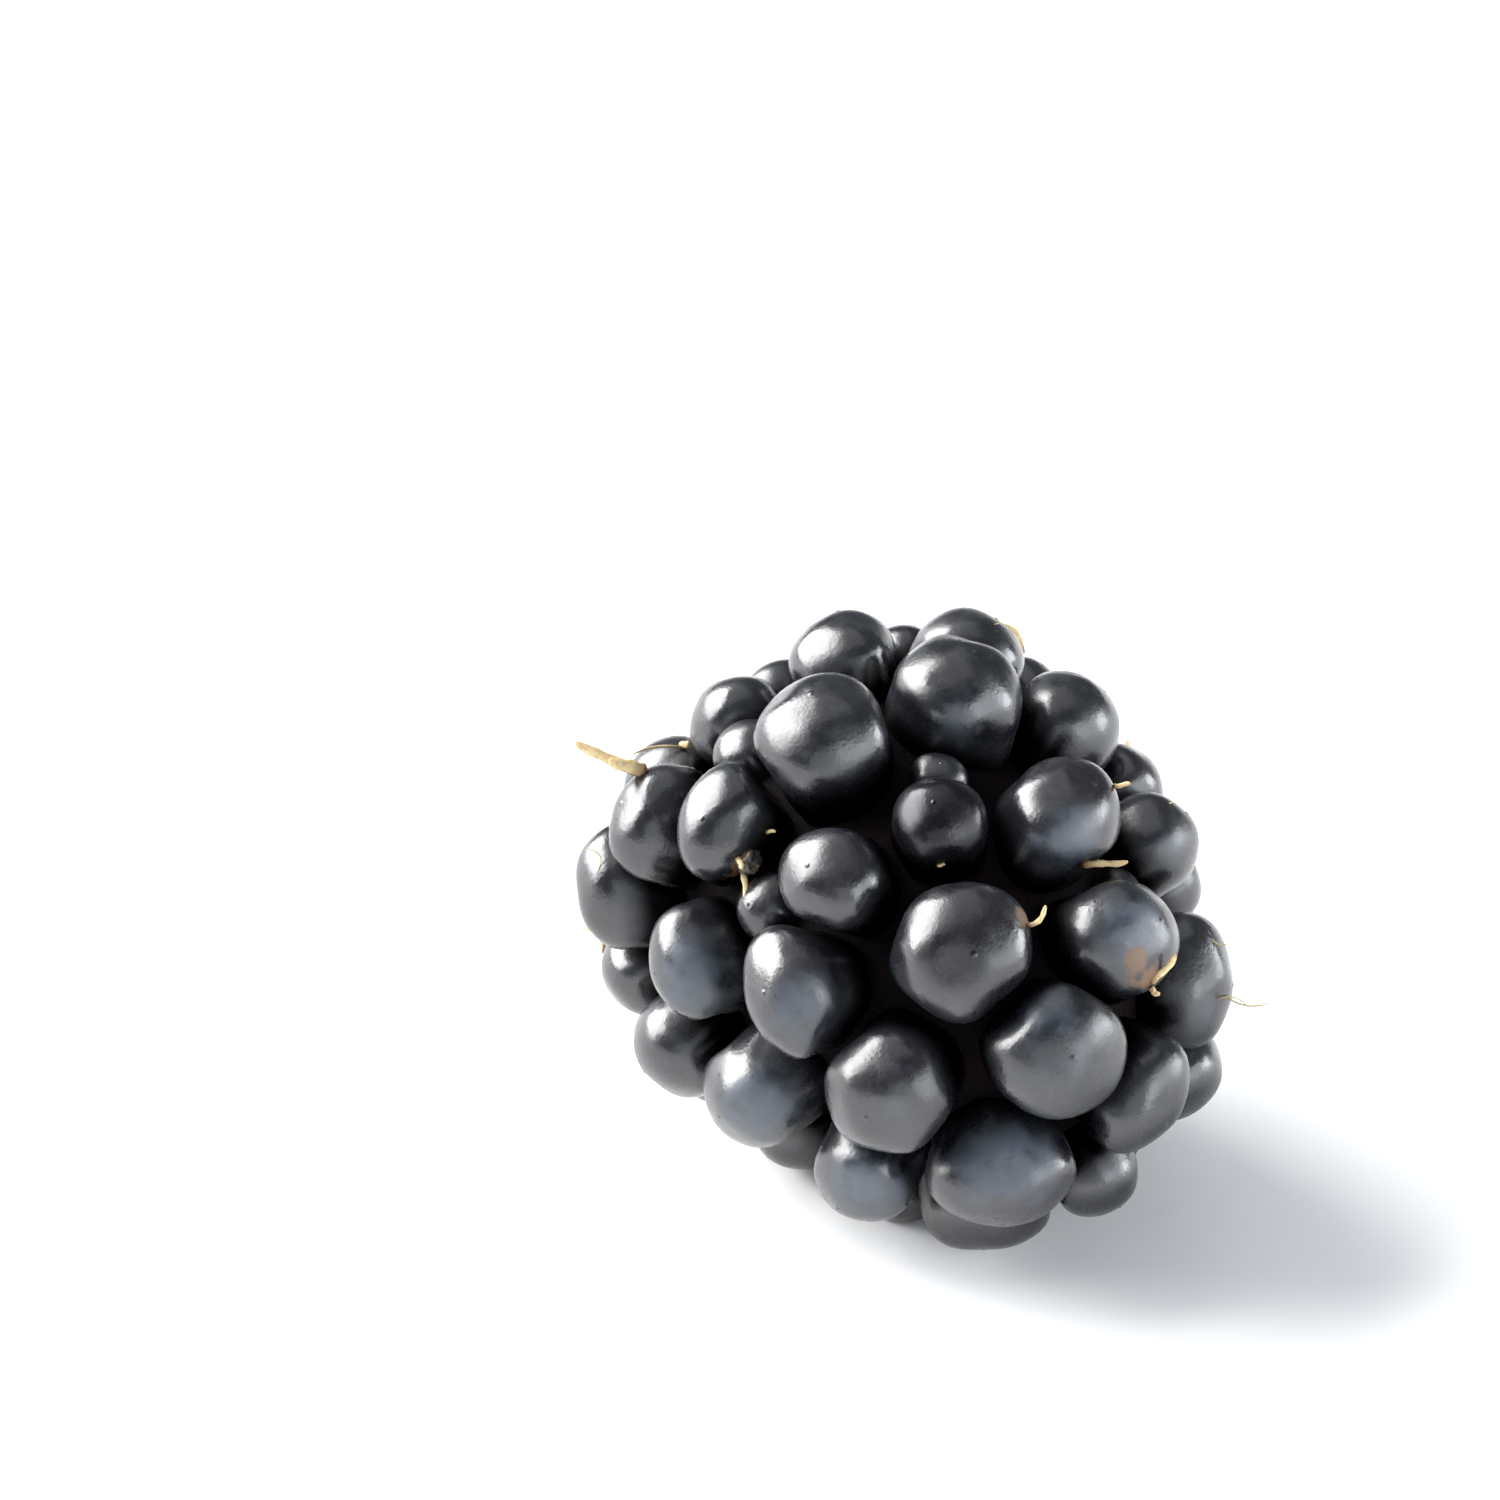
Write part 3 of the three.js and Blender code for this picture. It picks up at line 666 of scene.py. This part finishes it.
def skin_material():
    """Glossy near-black skin with fine pores and a faint mottle. Its shine and colour die away
    down the flanks, which press on each other, as painted shade: there the metallic value
    goes to 1 on a near-black colour. A little higher the flanks are painted paler and bluish,
    a painted reflection of the white table. A few patches are withered, some are paler, partly
    wax bloom and partly painted light, and some are darkened as painted shade."""
    material, tree, shader = new_material("drupelet_skin")
    shader.inputs["IOR"].default_value = SKIN_IOR
    height = painted(tree, "height")
    ragged = combine(tree, "MULTIPLY", blotchy(tree, **RAGGED), painted(tree, "withered"))
    # Paler bluish blotches: wax bloom and a faint mottle, and partly painted light.
    bloom_and_light_mask = combine(tree, "MULTIPLY", blotchy(tree, **BLOOM_AND_LIGHT_BLOTCHES), painted(tree, "bloom_and_light"))
    bloom_mottle_and_light = combine(tree, "MAXIMUM", bloom_and_light_mask, blotchy(tree, **MOTTLED))
    colour = blend(tree, step(tree, painted(tree, "ripeness"), *REDDER_STEP), SKIN_COLOUR, REDDER_COLOUR)
    colour = blend(tree, step(tree, bloom_mottle_and_light, *BLOOM_AND_LIGHT_STEP), colour, BLOOM_AND_LIGHT_COLOUR)
    # Painted reflection of the white table: paler, bluish flanks.
    colour = blend(tree, step(tree, height, *FLANK_REFLECTION_STEP), FLANK_REFLECTION_COLOUR, colour)
    # Painted shade: near black down in the crevices.
    colour = blend(tree, step(tree, height, *CREVICE_SHADE_STEP), CREVICE_SHADE_COLOUR, colour)
    colour = blend(tree, step(tree, ragged, *WITHERED_STEP), colour, WITHERED_COLOUR)
    feed(tree, colour, shader.inputs["Base Color"])
    # Painted shade: metallic 1 on the near-black colour takes all shine out of the crevices.
    shaded = step(tree, height, *CREVICE_SHADE_STEP, 1.0, 0.0)
    # Painted shade on a few patches, as in the crevices.
    painted_patch_shade = step(tree, painted(tree, "shade_patch"), *SHADE_PATCH_STEP)
    feed(tree, combine(tree, "MAXIMUM", shaded, painted_patch_shade), shader.inputs["Metallic"])
    rough = combine(tree, "ADD", blotchy(tree, **SATIN), step(tree, bloom_mottle_and_light, *BLOOM_ROUGHNESS))
    rough = combine(tree, "MAXIMUM", rough, step(tree, ragged, *WITHERED_ROUGHNESS))
    feed(tree, rough, shader.inputs["Roughness"])
    roughen(tree, shader, **PORES)
    return material


drupelets.data.materials.append(skin_material())
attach(drupelets, "root")
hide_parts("drupelets")

# --------------------------
# Core: the soft flesh that the roots of the drupelets are sunk in. It shows only as the floor
# of the crevices between them, painted near black as their shade, and at the stem end a cup is left in
# it.
# --------------------------
CORE_DEPTH = 1.5               # how far its skin lies inside the egg
CORE_ROWS, CORE_COLUMNS, WALL_ROWS = 90, 90, 12
# Near black: painted shade at the floor of the crevices.
CORE_AND_SHADE_COLOURS = (0.0026, 0.0019, 0.0024, 1), (0.0045, 0.002, 0.0026, 1)
CORE_IOR, CORE_ROUGHNESS = 1.1, 0.6
CORE_BLOTCHES = dict(size=0.8, detail=2.0, low=0.4, high=0.7)
CORE_GRAIN = dict(size=0.3, detail=2.0, depth=0.05)


def turned_grid(profile, columns):
    """Vertices and faces of a profile of (x, radius) turned round the x axis. Its first and
    last points lie on the axis and close the ends."""
    angle = np.linspace(0, 2 * math.pi, columns, endpoint=False)
    x, radius = profile[1:-1, :1], profile[1:-1, 1:]
    rings = np.stack([np.repeat(x, columns, 1), radius * np.cos(angle), radius * np.sin(angle)], axis=-1)
    ends = np.array([[profile[0, 0], 0, 0], [profile[-1, 0], 0, 0]])
    return np.concatenate([rings.reshape(-1, 3), ends]), grid_faces(len(profile) - 2, columns)


def core_profile():
    """The egg set in by the core's depth, from the tip until it meets the cup's wall, then
    down the wall and across the cup's floor."""
    angle = np.linspace(0, math.pi, CORE_ROWS)
    skin = onto_egg(np.stack([EGG_WIDEST_X + np.cos(angle), np.sin(angle), 0 * angle], axis=1))
    skin = (skin - CORE_DEPTH * egg_normal(skin))[:, :2]
    outside = skin[(skin[:, 0] > CUP["floor_x"]) | (skin[:, 1] > cup_radius(skin[:, 0]))]
    wall_x = np.linspace(outside[-1, 0], CUP["floor_x"], WALL_ROWS)
    wall = np.stack([wall_x, cup_radius(wall_x)], axis=1)
    return np.concatenate([outside, wall, [[CUP["floor_x"], 0]]])


core_vertices, core_faces = turned_grid(core_profile(), CORE_COLUMNS)
core = mesh_from("core", in_model(core_vertices), core_faces)


def core_material():
    """Dark wet flesh, near black as painted shade of the deep crevices, with hardly any shine, a little
    redder in blotches.
    """
    material, tree, shader = new_material("core_flesh_in_shade")
    shader.inputs["IOR"].default_value = CORE_IOR
    shader.inputs["Roughness"].default_value = CORE_ROUGHNESS
    feed(tree, blend(tree, blotchy(tree, **CORE_BLOTCHES), *CORE_AND_SHADE_COLOURS), shader.inputs["Base Color"])
    roughen(tree, shader, **CORE_GRAIN)
    return material


core.data.materials.append(core_material())
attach(core, "root")
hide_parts("drupelets")

# --------------------------
# Receptacle: the pale fleshy end that the fruit grew on, broken off across when it was
# picked. Its fibres run lengthwise, and its broken end is rough round a small central pit.
# --------------------------
PLUG_COLUMNS, PLUG_STEP, SHOULDER_POINTS = 220, 0.05, 8
PIT_LIP, PIT_LIP_DEPTH, PIT_FLOOR = 0.2, 0.12, 0.3     # the floor as a share of the radius
FIBRES, FIBRE_DEPTH = 31, 0.05
BREAK_ROUGHNESS, BREAK_DEPTH = 0.06, 0.5
# Fields of lumps, as height, size and seed: the fibres' sway, the side, and the broken end.
SWAY_LUMPS, SIDE_LUMPS = (0.6, 2.5, 11), (0.06, 1.6, 12)
BREAK_LUMPS, BREAK_GRAINS = (0.8, 1.3, 13), (0.25, 0.4, 14)
PITH, RIM_GREEN, PALE_FIBRE = (0.3, 0.285, 0.17, 1), (0.19, 0.205, 0.09, 1), (0.37, 0.355, 0.25, 1)
BROWNED, JUICE_STAIN = (0.11, 0.07, 0.025, 1), (0.03, 0.005, 0.015, 1)
FLESH_ROUGHNESS, FLESH_SHINE = 0.7, 0.3
GREEN_STEP, BROWN_STEP = (0.35, 0.95), (0.55, 0.4)      # of the share of the end's radius
SUNK_STEP, SIDE_STEP = (0.1, 0.9), (0.6, 0.9)           # of the depth in mm, and of that share
BROWN_BLOTCHES = dict(size=0.5, detail=4.0, low=0.35, high=0.65)
PALE_BLOTCHES = dict(size=0.5, detail=4.0, low=0.45, high=0.8, most=0.5)
FLESH_GRAIN = dict(size=0.14, detail=3.0, depth=0.03)


def plug_profile():
    """Root disc, side, rounded shoulder, broken end and pit, as evenly spaced points of
    (x, radius)."""
    root, end = CUP["floor_x"] - CUP_GAP, PLUG["end_x"]
    shoulder = end + PLUG["shoulder"]
    corner = np.linspace(0, math.pi / 2, SHOULDER_POINTS)
    turn = np.stack([shoulder - PLUG["shoulder"] * np.sin(corner),
                     cup_radius(shoulder) - CUP_GAP - PLUG["shoulder"] * (1 - np.cos(corner))], axis=1)
    radius, floor = PLUG["pit_radius"], end + PLUG["pit_depth"]
    pit = np.array([[end, radius + PIT_LIP], [end + PIT_LIP_DEPTH, radius],
                    [floor, PIT_FLOOR * radius], [floor, 0]])
    corners = np.concatenate([[[root, 0], [root, cup_radius(root) - CUP_GAP]], turn, pit])
    run = np.append(0, np.cumsum(np.linalg.norm(np.diff(corners, axis=0), axis=1)))
    even = np.linspace(0, run[-1], int(run[-1] / PLUG_STEP))
    return np.stack([np.interp(even, run, corners[:, 0]), np.interp(even, run, corners[:, 1])], axis=1)


def rough_plug():
    """The turned profile, its side grooved along the fibres and its end heaved in and out. A
    groove is -|sin(fibres/2 angle + sway)| deep, and both fade towards the axis or the root."""
    vertices, faces = turned_grid(plug_profile(), PLUG_COLUMNS)
    x, radius = vertices[:, 0], np.hypot(vertices[:, 1], vertices[:, 2])
    angle = np.arctan2(vertices[:, 2], vertices[:, 1])
    outwards = np.clip(radius / PLUG["pit_radius"], 0, 1)
    sway = lumps(vertices, *SWAY_LUMPS)
    grooves = -FIBRE_DEPTH * np.abs(np.sin(FIBRES / 2 * angle + sway)) * outwards
    scale = 1 + (grooves + lumps(vertices, *SIDE_LUMPS)) / np.maximum(radius, 1)
    near_end = np.clip((PLUG["end_x"] + BREAK_DEPTH - x) / BREAK_DEPTH, 0, 1)
    heave = lumps(vertices, *BREAK_LUMPS) + lumps(vertices, *BREAK_GRAINS)
    heave = BREAK_ROUGHNESS * heave * near_end
    return np.stack([x + heave, vertices[:, 1] * scale, vertices[:, 2] * scale], axis=1), faces


plug_vertices, plug_faces = rough_plug()
receptacle = mesh_from("receptacle_end", in_model(plug_vertices), plug_faces)
end_distance = np.hypot(plug_vertices[:, 1], plug_vertices[:, 2]) / (cup_radius(PLUG["end_x"]) - CUP_GAP)
paint(receptacle, "radius", end_distance)
paint(receptacle, "sunk", plug_vertices[:, 0] - PLUG["end_x"])


def flesh_material():
    """Pale greenish-cream pith, greener towards the rim of the break and stained by juice
    where it goes down between the drupelets, with a browned ring round the pit."""
    material, tree, shader = new_material("receptacle_flesh")
    shader.inputs["Roughness"].default_value = FLESH_ROUGHNESS
    shader.inputs["Specular IOR Level"].default_value = FLESH_SHINE
    radius, sunk = painted(tree, "radius"), painted(tree, "sunk")
    colour = blend(tree, step(tree, radius, *GREEN_STEP), PITH, RIM_GREEN)
    ring = combine(tree, "MULTIPLY", step(tree, radius, *BROWN_STEP), blotchy(tree, **BROWN_BLOTCHES))
    colour = blend(tree, ring, colour, BROWNED)
    colour = blend(tree, blotchy(tree, **PALE_BLOTCHES), colour, PALE_FIBRE)
    stained = combine(tree, "MULTIPLY", step(tree, sunk, *SUNK_STEP), step(tree, radius, *SIDE_STEP))
    feed(tree, blend(tree, stained, colour, JUICE_STAIN), shader.inputs["Base Color"])
    roughen(tree, shader, **FLESH_GRAIN)
    return material


receptacle.data.materials.append(flesh_material())
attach(receptacle, "root")
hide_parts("receptacle")

# --------------------------
# Shrivelled drupelet: one that never filled, dried to a crumpled bead of skin round its seed.
# It sits half sunk between the full ones, held among the dried styles.
# --------------------------
BEAD_PLACE, BEAD_RADIUS = (-6.3, 2.55), 0.5
BEAD_STAND = 0.25              # how far its middle stands off the skin, in radii
BEAD_CREASES, BEAD_WRINKLES = (0.08, 0.9, 8), (0.03, 0.4, 9)
BEAD_COLOURS = (0.028, 0.024, 0.021, 1), (0.11, 0.085, 0.06, 1)
BEAD_ROUGHNESS = 0.35
BEAD_BLOTCHES = dict(size=0.35, detail=3.0, low=0.35, high=0.7)
BEAD_GRAIN = dict(size=0.12, detail=2.0, depth=0.03)


def shrivelled_bead():
    """A grid sphere whose radius is 1 plus two fields of lumps, a coarse and a fine one, half
    sunk in the skin at a place on the faced side."""
    rays, _ = skin_rays()
    crumple = 1 + lumps(rays, *BEAD_CREASES) + lumps(rays, *BEAD_WRINKLES)
    centre = seen_point(*BEAD_PLACE) + BEAD_STAND * BEAD_RADIUS * eye
    return mesh_from("shrivelled_drupelet", in_model(centre + BEAD_RADIUS * rays * crumple[:, None]),
                     grid_faces(DOME_ROWS + len(SCAR_ROWS), DOME_COLUMNS))


def bead_material():
    """Dried skin: dull grey-brown, paler in blotches."""
    material, tree, shader = new_material("shrivelled_skin")
    shader.inputs["Roughness"].default_value = BEAD_ROUGHNESS
    feed(tree, blend(tree, blotchy(tree, **BEAD_BLOTCHES), *BEAD_COLOURS), shader.inputs["Base Color"])
    roughen(tree, shader, **BEAD_GRAIN)
    return material


bead = shrivelled_bead()
bead.data.materials.append(bead_material())
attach(bead, "root")

# --------------------------
# Dried styles: the thin cream stalks left from the flower, one of which once stood on each
# drupelet. A few still cling to the fruit, bent and browned at the foot, with some hairs.
# --------------------------
STYLE_RINGS, STYLE_SIDES = 14, 10
STYLE_FLATNESS, STYLE_TAPER, STYLE_POINT = 0.7, 0.25, 0.15
STYLE_WOBBLE, WOBBLE_PACE = 0.2, 7      # aside, in radii, and how often over the length
STYLE_KNOTS, KNOT_PACE = 0.1, 19        # thicker and thinner, and how often
END_POWER, END_DROP = 12, 0.8           # how suddenly and how far both ends round off
SEEN_STYLES = [   # foot right and up, end right and up, end's lift to the eye, bow, radius
    (-6.49, 2.36, -6.45, 1.09, 0.4, 0.0, 0.13), (-6.8, 2.7, -6.55, 2.25, 0.3, 0.05, 0.12),
    (6.15, 2.44, 7.84, 2.55, 0.4, 0.03, 0.14), (8.66, -1.99, 9.64, -0.94, 0.4, 0.03, 0.15),
    (8.8, -2.35, 9.0, -2.47, 0.1, 0.0, 0.13), (4.2, 0.11, 4.73, 0.94, 0.5, 0.14, 0.11),
    (7.35, 5.38, 7.95, 5.48, 0.4, 0.05, 0.10), (-5.62, 3.62, -5.33, 3.66, 0.2, 0.0, 0.08),
    (-8.6, 6.72, -10.6, 6.4, 0.7, 0.1, 0.06), (-8.75, 6.72, -8.45, 6.85, 0.3, 0.0, 0.17),
    (-10.3, 6.1, -12.75, 6.95, 0.9, -0.06, 0.24), (-10.15, 5.85, -11.5, 6.3, 0.7, -0.05, 0.28),
    (0.62, 2.4, 0.98, 2.46, 0.1, 0.0, 0.07),
]
SEEN_HAIRS = [
    (11.0, -0.1, 11.9, -0.5, 0.3, 0.3, 0.035), (11.6, -2.55, 13.2, -2.8, 0.4, 0.15, 0.04),
    (11.2, -2.7, 12.5, -3.1, 0.2, -0.2, 0.03), (9.1, 4.95, 9.8, 4.85, 0.2, 0.3, 0.03),
    (-11.9, 2.0, -12.5, 2.9, 0.2, 0.4, 0.03), (2.9, 11.3, 3.5, 12.1, 0.0, 0.3, 0.03),
]
OTHER_STYLES, OTHER_SEED = 12, 23
OTHER_LENGTH, OTHER_BOW, OTHER_RADIUS = (0.9, 1.8), (-0.2, 0.3), (0.1, 0.15)
OTHER_LOWEST = 0.006                    # metres above the table
OFF_TIP, STAND_OFF = 0.8, 0.35          # how far off the tip the foot is, and how steep it is
STALK_ROUGHNESS = 0.6
FOOT_STEP, TIP_STEP = (0.0, 0.45), (0.85, 1.0, 0.0, 0.6)
STALK_SPECKS = dict(size=0.2, detail=2.0, low=0.45, high=0.75, most=0.6)
STALK_GRAIN = dict(size=0.07, detail=2.0, depth=0.02)
STYLE_COLOURS = (0.13, 0.06, 0.02, 1), (0.72, 0.56, 0.3, 1), (0.42, 0.24, 0.09, 1)
HAIR_COLOURS = (0.3, 0.22, 0.1, 1), (0.6, 0.5, 0.25, 1), (0.5, 0.4, 0.2, 1)


def seen_stalks(rows):
    """Feet, ends, bows and radii of listed stalks. The foot is on the skin, and the end is
    level with it to the eye, plus its lift."""
    rows = np.array(rows)
    feet = np.array([seen_point(right, up) for right, up in rows[:, :2]])
    depth = feet @ eye + rows[:, 4]
    shrink = (1 - depth * MM / CAMERA_DISTANCE)[:, None]
    ends = (rows[:, 2:3] * right_axis + rows[:, 3:4] * up_axis) * shrink + depth[:, None] * eye
    return feet, ends, rows[:, 5], rows[:, 6]


def other_stalks():
    """Feet, ends, bows and radii of stalks on the other sides: each stands on a drupelet
    that faces away, off its tip, and leans a random way along the skin."""
    draw = np.random.default_rng(OTHER_SEED)
    hidden = np.flatnonzero((axes[:, 0] @ eye < 0) & (in_model(middles)[:, 2] > OTHER_LOWEST))
    chosen = draw.choice(hidden, OTHER_STYLES, replace=False)
    around = draw.uniform(0, 2 * math.pi, OTHER_STYLES)
    along = (np.cos(around)[:, None] * axes[chosen, 1] + np.sin(around)[:, None] * axes[chosen, 2])
    rays = unit(axes[chosen, 0] + OFF_TIP * along)
    reach = np.array([pressed_reach(k, ray[None])[0] for k, ray in zip(chosen, rays)])
    feet = middles[chosen] + rays * reach[:, None]
    length = draw.uniform(*OTHER_LENGTH, OTHER_STYLES)[:, None]
    ends = feet + length * unit(along + STAND_OFF * axes[chosen, 0])
    return feet, ends, draw.uniform(*OTHER_BOW, OTHER_STYLES), draw.uniform(*OTHER_RADIUS, OTHER_STYLES)


def stalks(feet, ends, bows, radii):
    """Vertices, faces and shares of the length of bent tapering stalks. Each runs along
    foot + t (end - foot) + 4 t (1 - t) bow length aside, is thickest near the foot, and is
    closed by a point at each end."""
    t = np.linspace(0, 1, STYLE_RINGS)[:, None]
    run = ends - feet
    length = np.linalg.norm(run, axis=1)[:, None]
    aside = unit(np.cross(run, eye))
    bend = (4 * t * (1 - t))[None] * (bows[:, None] * length * aside)[:, None]
    middle_line = feet[:, None] + t * run[:, None] + bend
    phase = np.arange(len(feet))[:, None, None]
    wobble = STYLE_WOBBLE * radii[:, None, None] * np.sin(WOBBLE_PACE * t + phase)
    middle_line = middle_line + wobble * aside[:, None]
    rounded = np.sqrt(1 - (2 * t - 1) ** END_POWER * END_DROP)
    thick = rounded * (1 - STYLE_TAPER * t) * (1 + STYLE_KNOTS * np.sin(KNOT_PACE * t))
    angle = np.linspace(0, 2 * math.pi, STYLE_SIDES, endpoint=False)
    up = unit(np.cross(aside, run))
    ring = np.cos(angle)[:, None] * aside[:, None] + STYLE_FLATNESS * np.sin(angle)[:, None] * up[:, None]
    rings = middle_line[:, :, None] + (radii[:, None, None] * thick)[..., None] * ring[:, None]
    point = STYLE_POINT * radii[:, None] * run / length
    poles = np.stack([middle_line[:, 0] - point, middle_line[:, -1] + point], axis=1)
    vertices = np.concatenate([rings.reshape(len(feet), -1, 3), poles], axis=1)
    share = np.concatenate([np.repeat(t[:, 0], STYLE_SIDES), [0, 1]])
    faces = grid_faces(STYLE_RINGS, STYLE_SIDES, len(feet))
    return vertices.reshape(-1, 3), faces, np.tile(share, len(feet))


def stalk_piece(name, *parts):
    """One piece of all the stalks in the given parts, with the share of the length painted
    on it as "along"."""
    vertices, faces, share = stalks(*(np.concatenate(column) for column in zip(*parts)))
    piece = mesh_from(name, in_model(vertices), faces)
    paint(piece, "along", share)
    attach(piece, "root")
    return piece


def stalk_material(name, foot, shaft, tip):
    """Dry papery stalk: brown at the foot, cream along the shaft, darker at the tip."""
    material, tree, shader = new_material(name)
    shader.inputs["Roughness"].default_value = STALK_ROUGHNESS
    along = painted(tree, "along")
    colour = blend(tree, step(tree, along, *FOOT_STEP), foot, shaft)
    colour = blend(tree, step(tree, along, *TIP_STEP), colour, tip)
    colour = blend(tree, blotchy(tree, **STALK_SPECKS), colour, tip)
    feed(tree, colour, shader.inputs["Base Color"])
    roughen(tree, shader, **STALK_GRAIN)
    return material


dried_styles = stalk_piece("dried_styles", seen_stalks(SEEN_STYLES), other_stalks())
dried_styles.data.materials.append(stalk_material("dried_style", *STYLE_COLOURS))
fruit_hairs = stalk_piece("fruit_hairs", seen_stalks(SEEN_HAIRS))
fruit_hairs.data.materials.append(stalk_material("fruit_hair", *HAIR_COLOURS))

# --------------------------
# Table and light: a plain matt white table, with one large window of light on the stem-end
# side. Four weaker lights stand above, past the tip, on the right and in front, and a pale
# bluish room is all round.
# --------------------------
TABLE_HALF_WIDTH = 3.0          # metres, as all the sizes in this section
TABLE_COLOUR = (0.9, 0.9, 0.9, 1)
ROOM_COLOUR, ROOM_STRENGTH = (0.82, 0.9, 1, 1), 0.22
LIGHTS = {   # degrees round from the faced side and up, width, height, watts, colour
    "window_light": (-112, 31, 1.8, 1.45, 112, (1, 1, 1)),
    "top_light": (-150, 72, 2.0, 2.0, 8, (1, 1, 1)),
    "side_light": (104, 6, 0.7, 0.8, 17, (0.92, 0.96, 1)),
    "fill_light": (62, 13, 2.0, 1.2, 28, (0.9, 0.95, 1)),
    "front_light": (15, 16, 2.2, 1.1, 9, (0.92, 0.96, 1)),
}
LIGHT_DISTANCE = 1.6


def plain_table():
    """A flat square under the berry, matt and without any shine."""
    a = TABLE_HALF_WIDTH
    table = mesh_from("table", np.array([(-a, -a, 0), (a, -a, 0), (a, a, 0), (-a, a, 0)]), [[0, 1, 2, 3]])
    material, _, shader = new_material("table_top")
    shader.inputs["Base Color"].default_value = TABLE_COLOUR
    shader.inputs["Roughness"].default_value = 1
    shader.inputs["Specular IOR Level"].default_value = 0
    table.data.materials.append(material)
    return table


def flat_light(name, turn, rise, width, height, watts, colour):
    """A flat rectangular light, turned round and raised from the faced side, that points at
    the berry's middle."""
    data = bpy.data.lights.new(name, "AREA")
    data.shape = "RECTANGLE"
    data.size, data.size_y = width, height
    data.energy, data.color = watts, colour
    light = bpy.data.objects.new(name, data)
    bpy.context.collection.objects.link(light)
    turn, rise = FACE_TURN + math.radians(turn), math.radians(rise)
    way = np.array([math.sin(turn) * math.cos(rise), -math.cos(turn) * math.cos(rise), math.sin(rise)])
    light.location = berry_middle * MM + way * LIGHT_DISTANCE
    light.rotation_euler = (math.pi / 2 - rise, 0, turn)


plain_table()
for light_name, light_setting in LIGHTS.items():
    flat_light(light_name, *light_setting)

room = bpy.data.worlds.new("room")
room.use_nodes = True
room.node_tree.nodes["Background"].inputs["Color"].default_value = ROOM_COLOUR
room.node_tree.nodes["Background"].inputs["Strength"].default_value = ROOM_STRENGTH
bpy.context.scene.world = room
bpy.context.scene.view_settings.view_transform = "Standard"
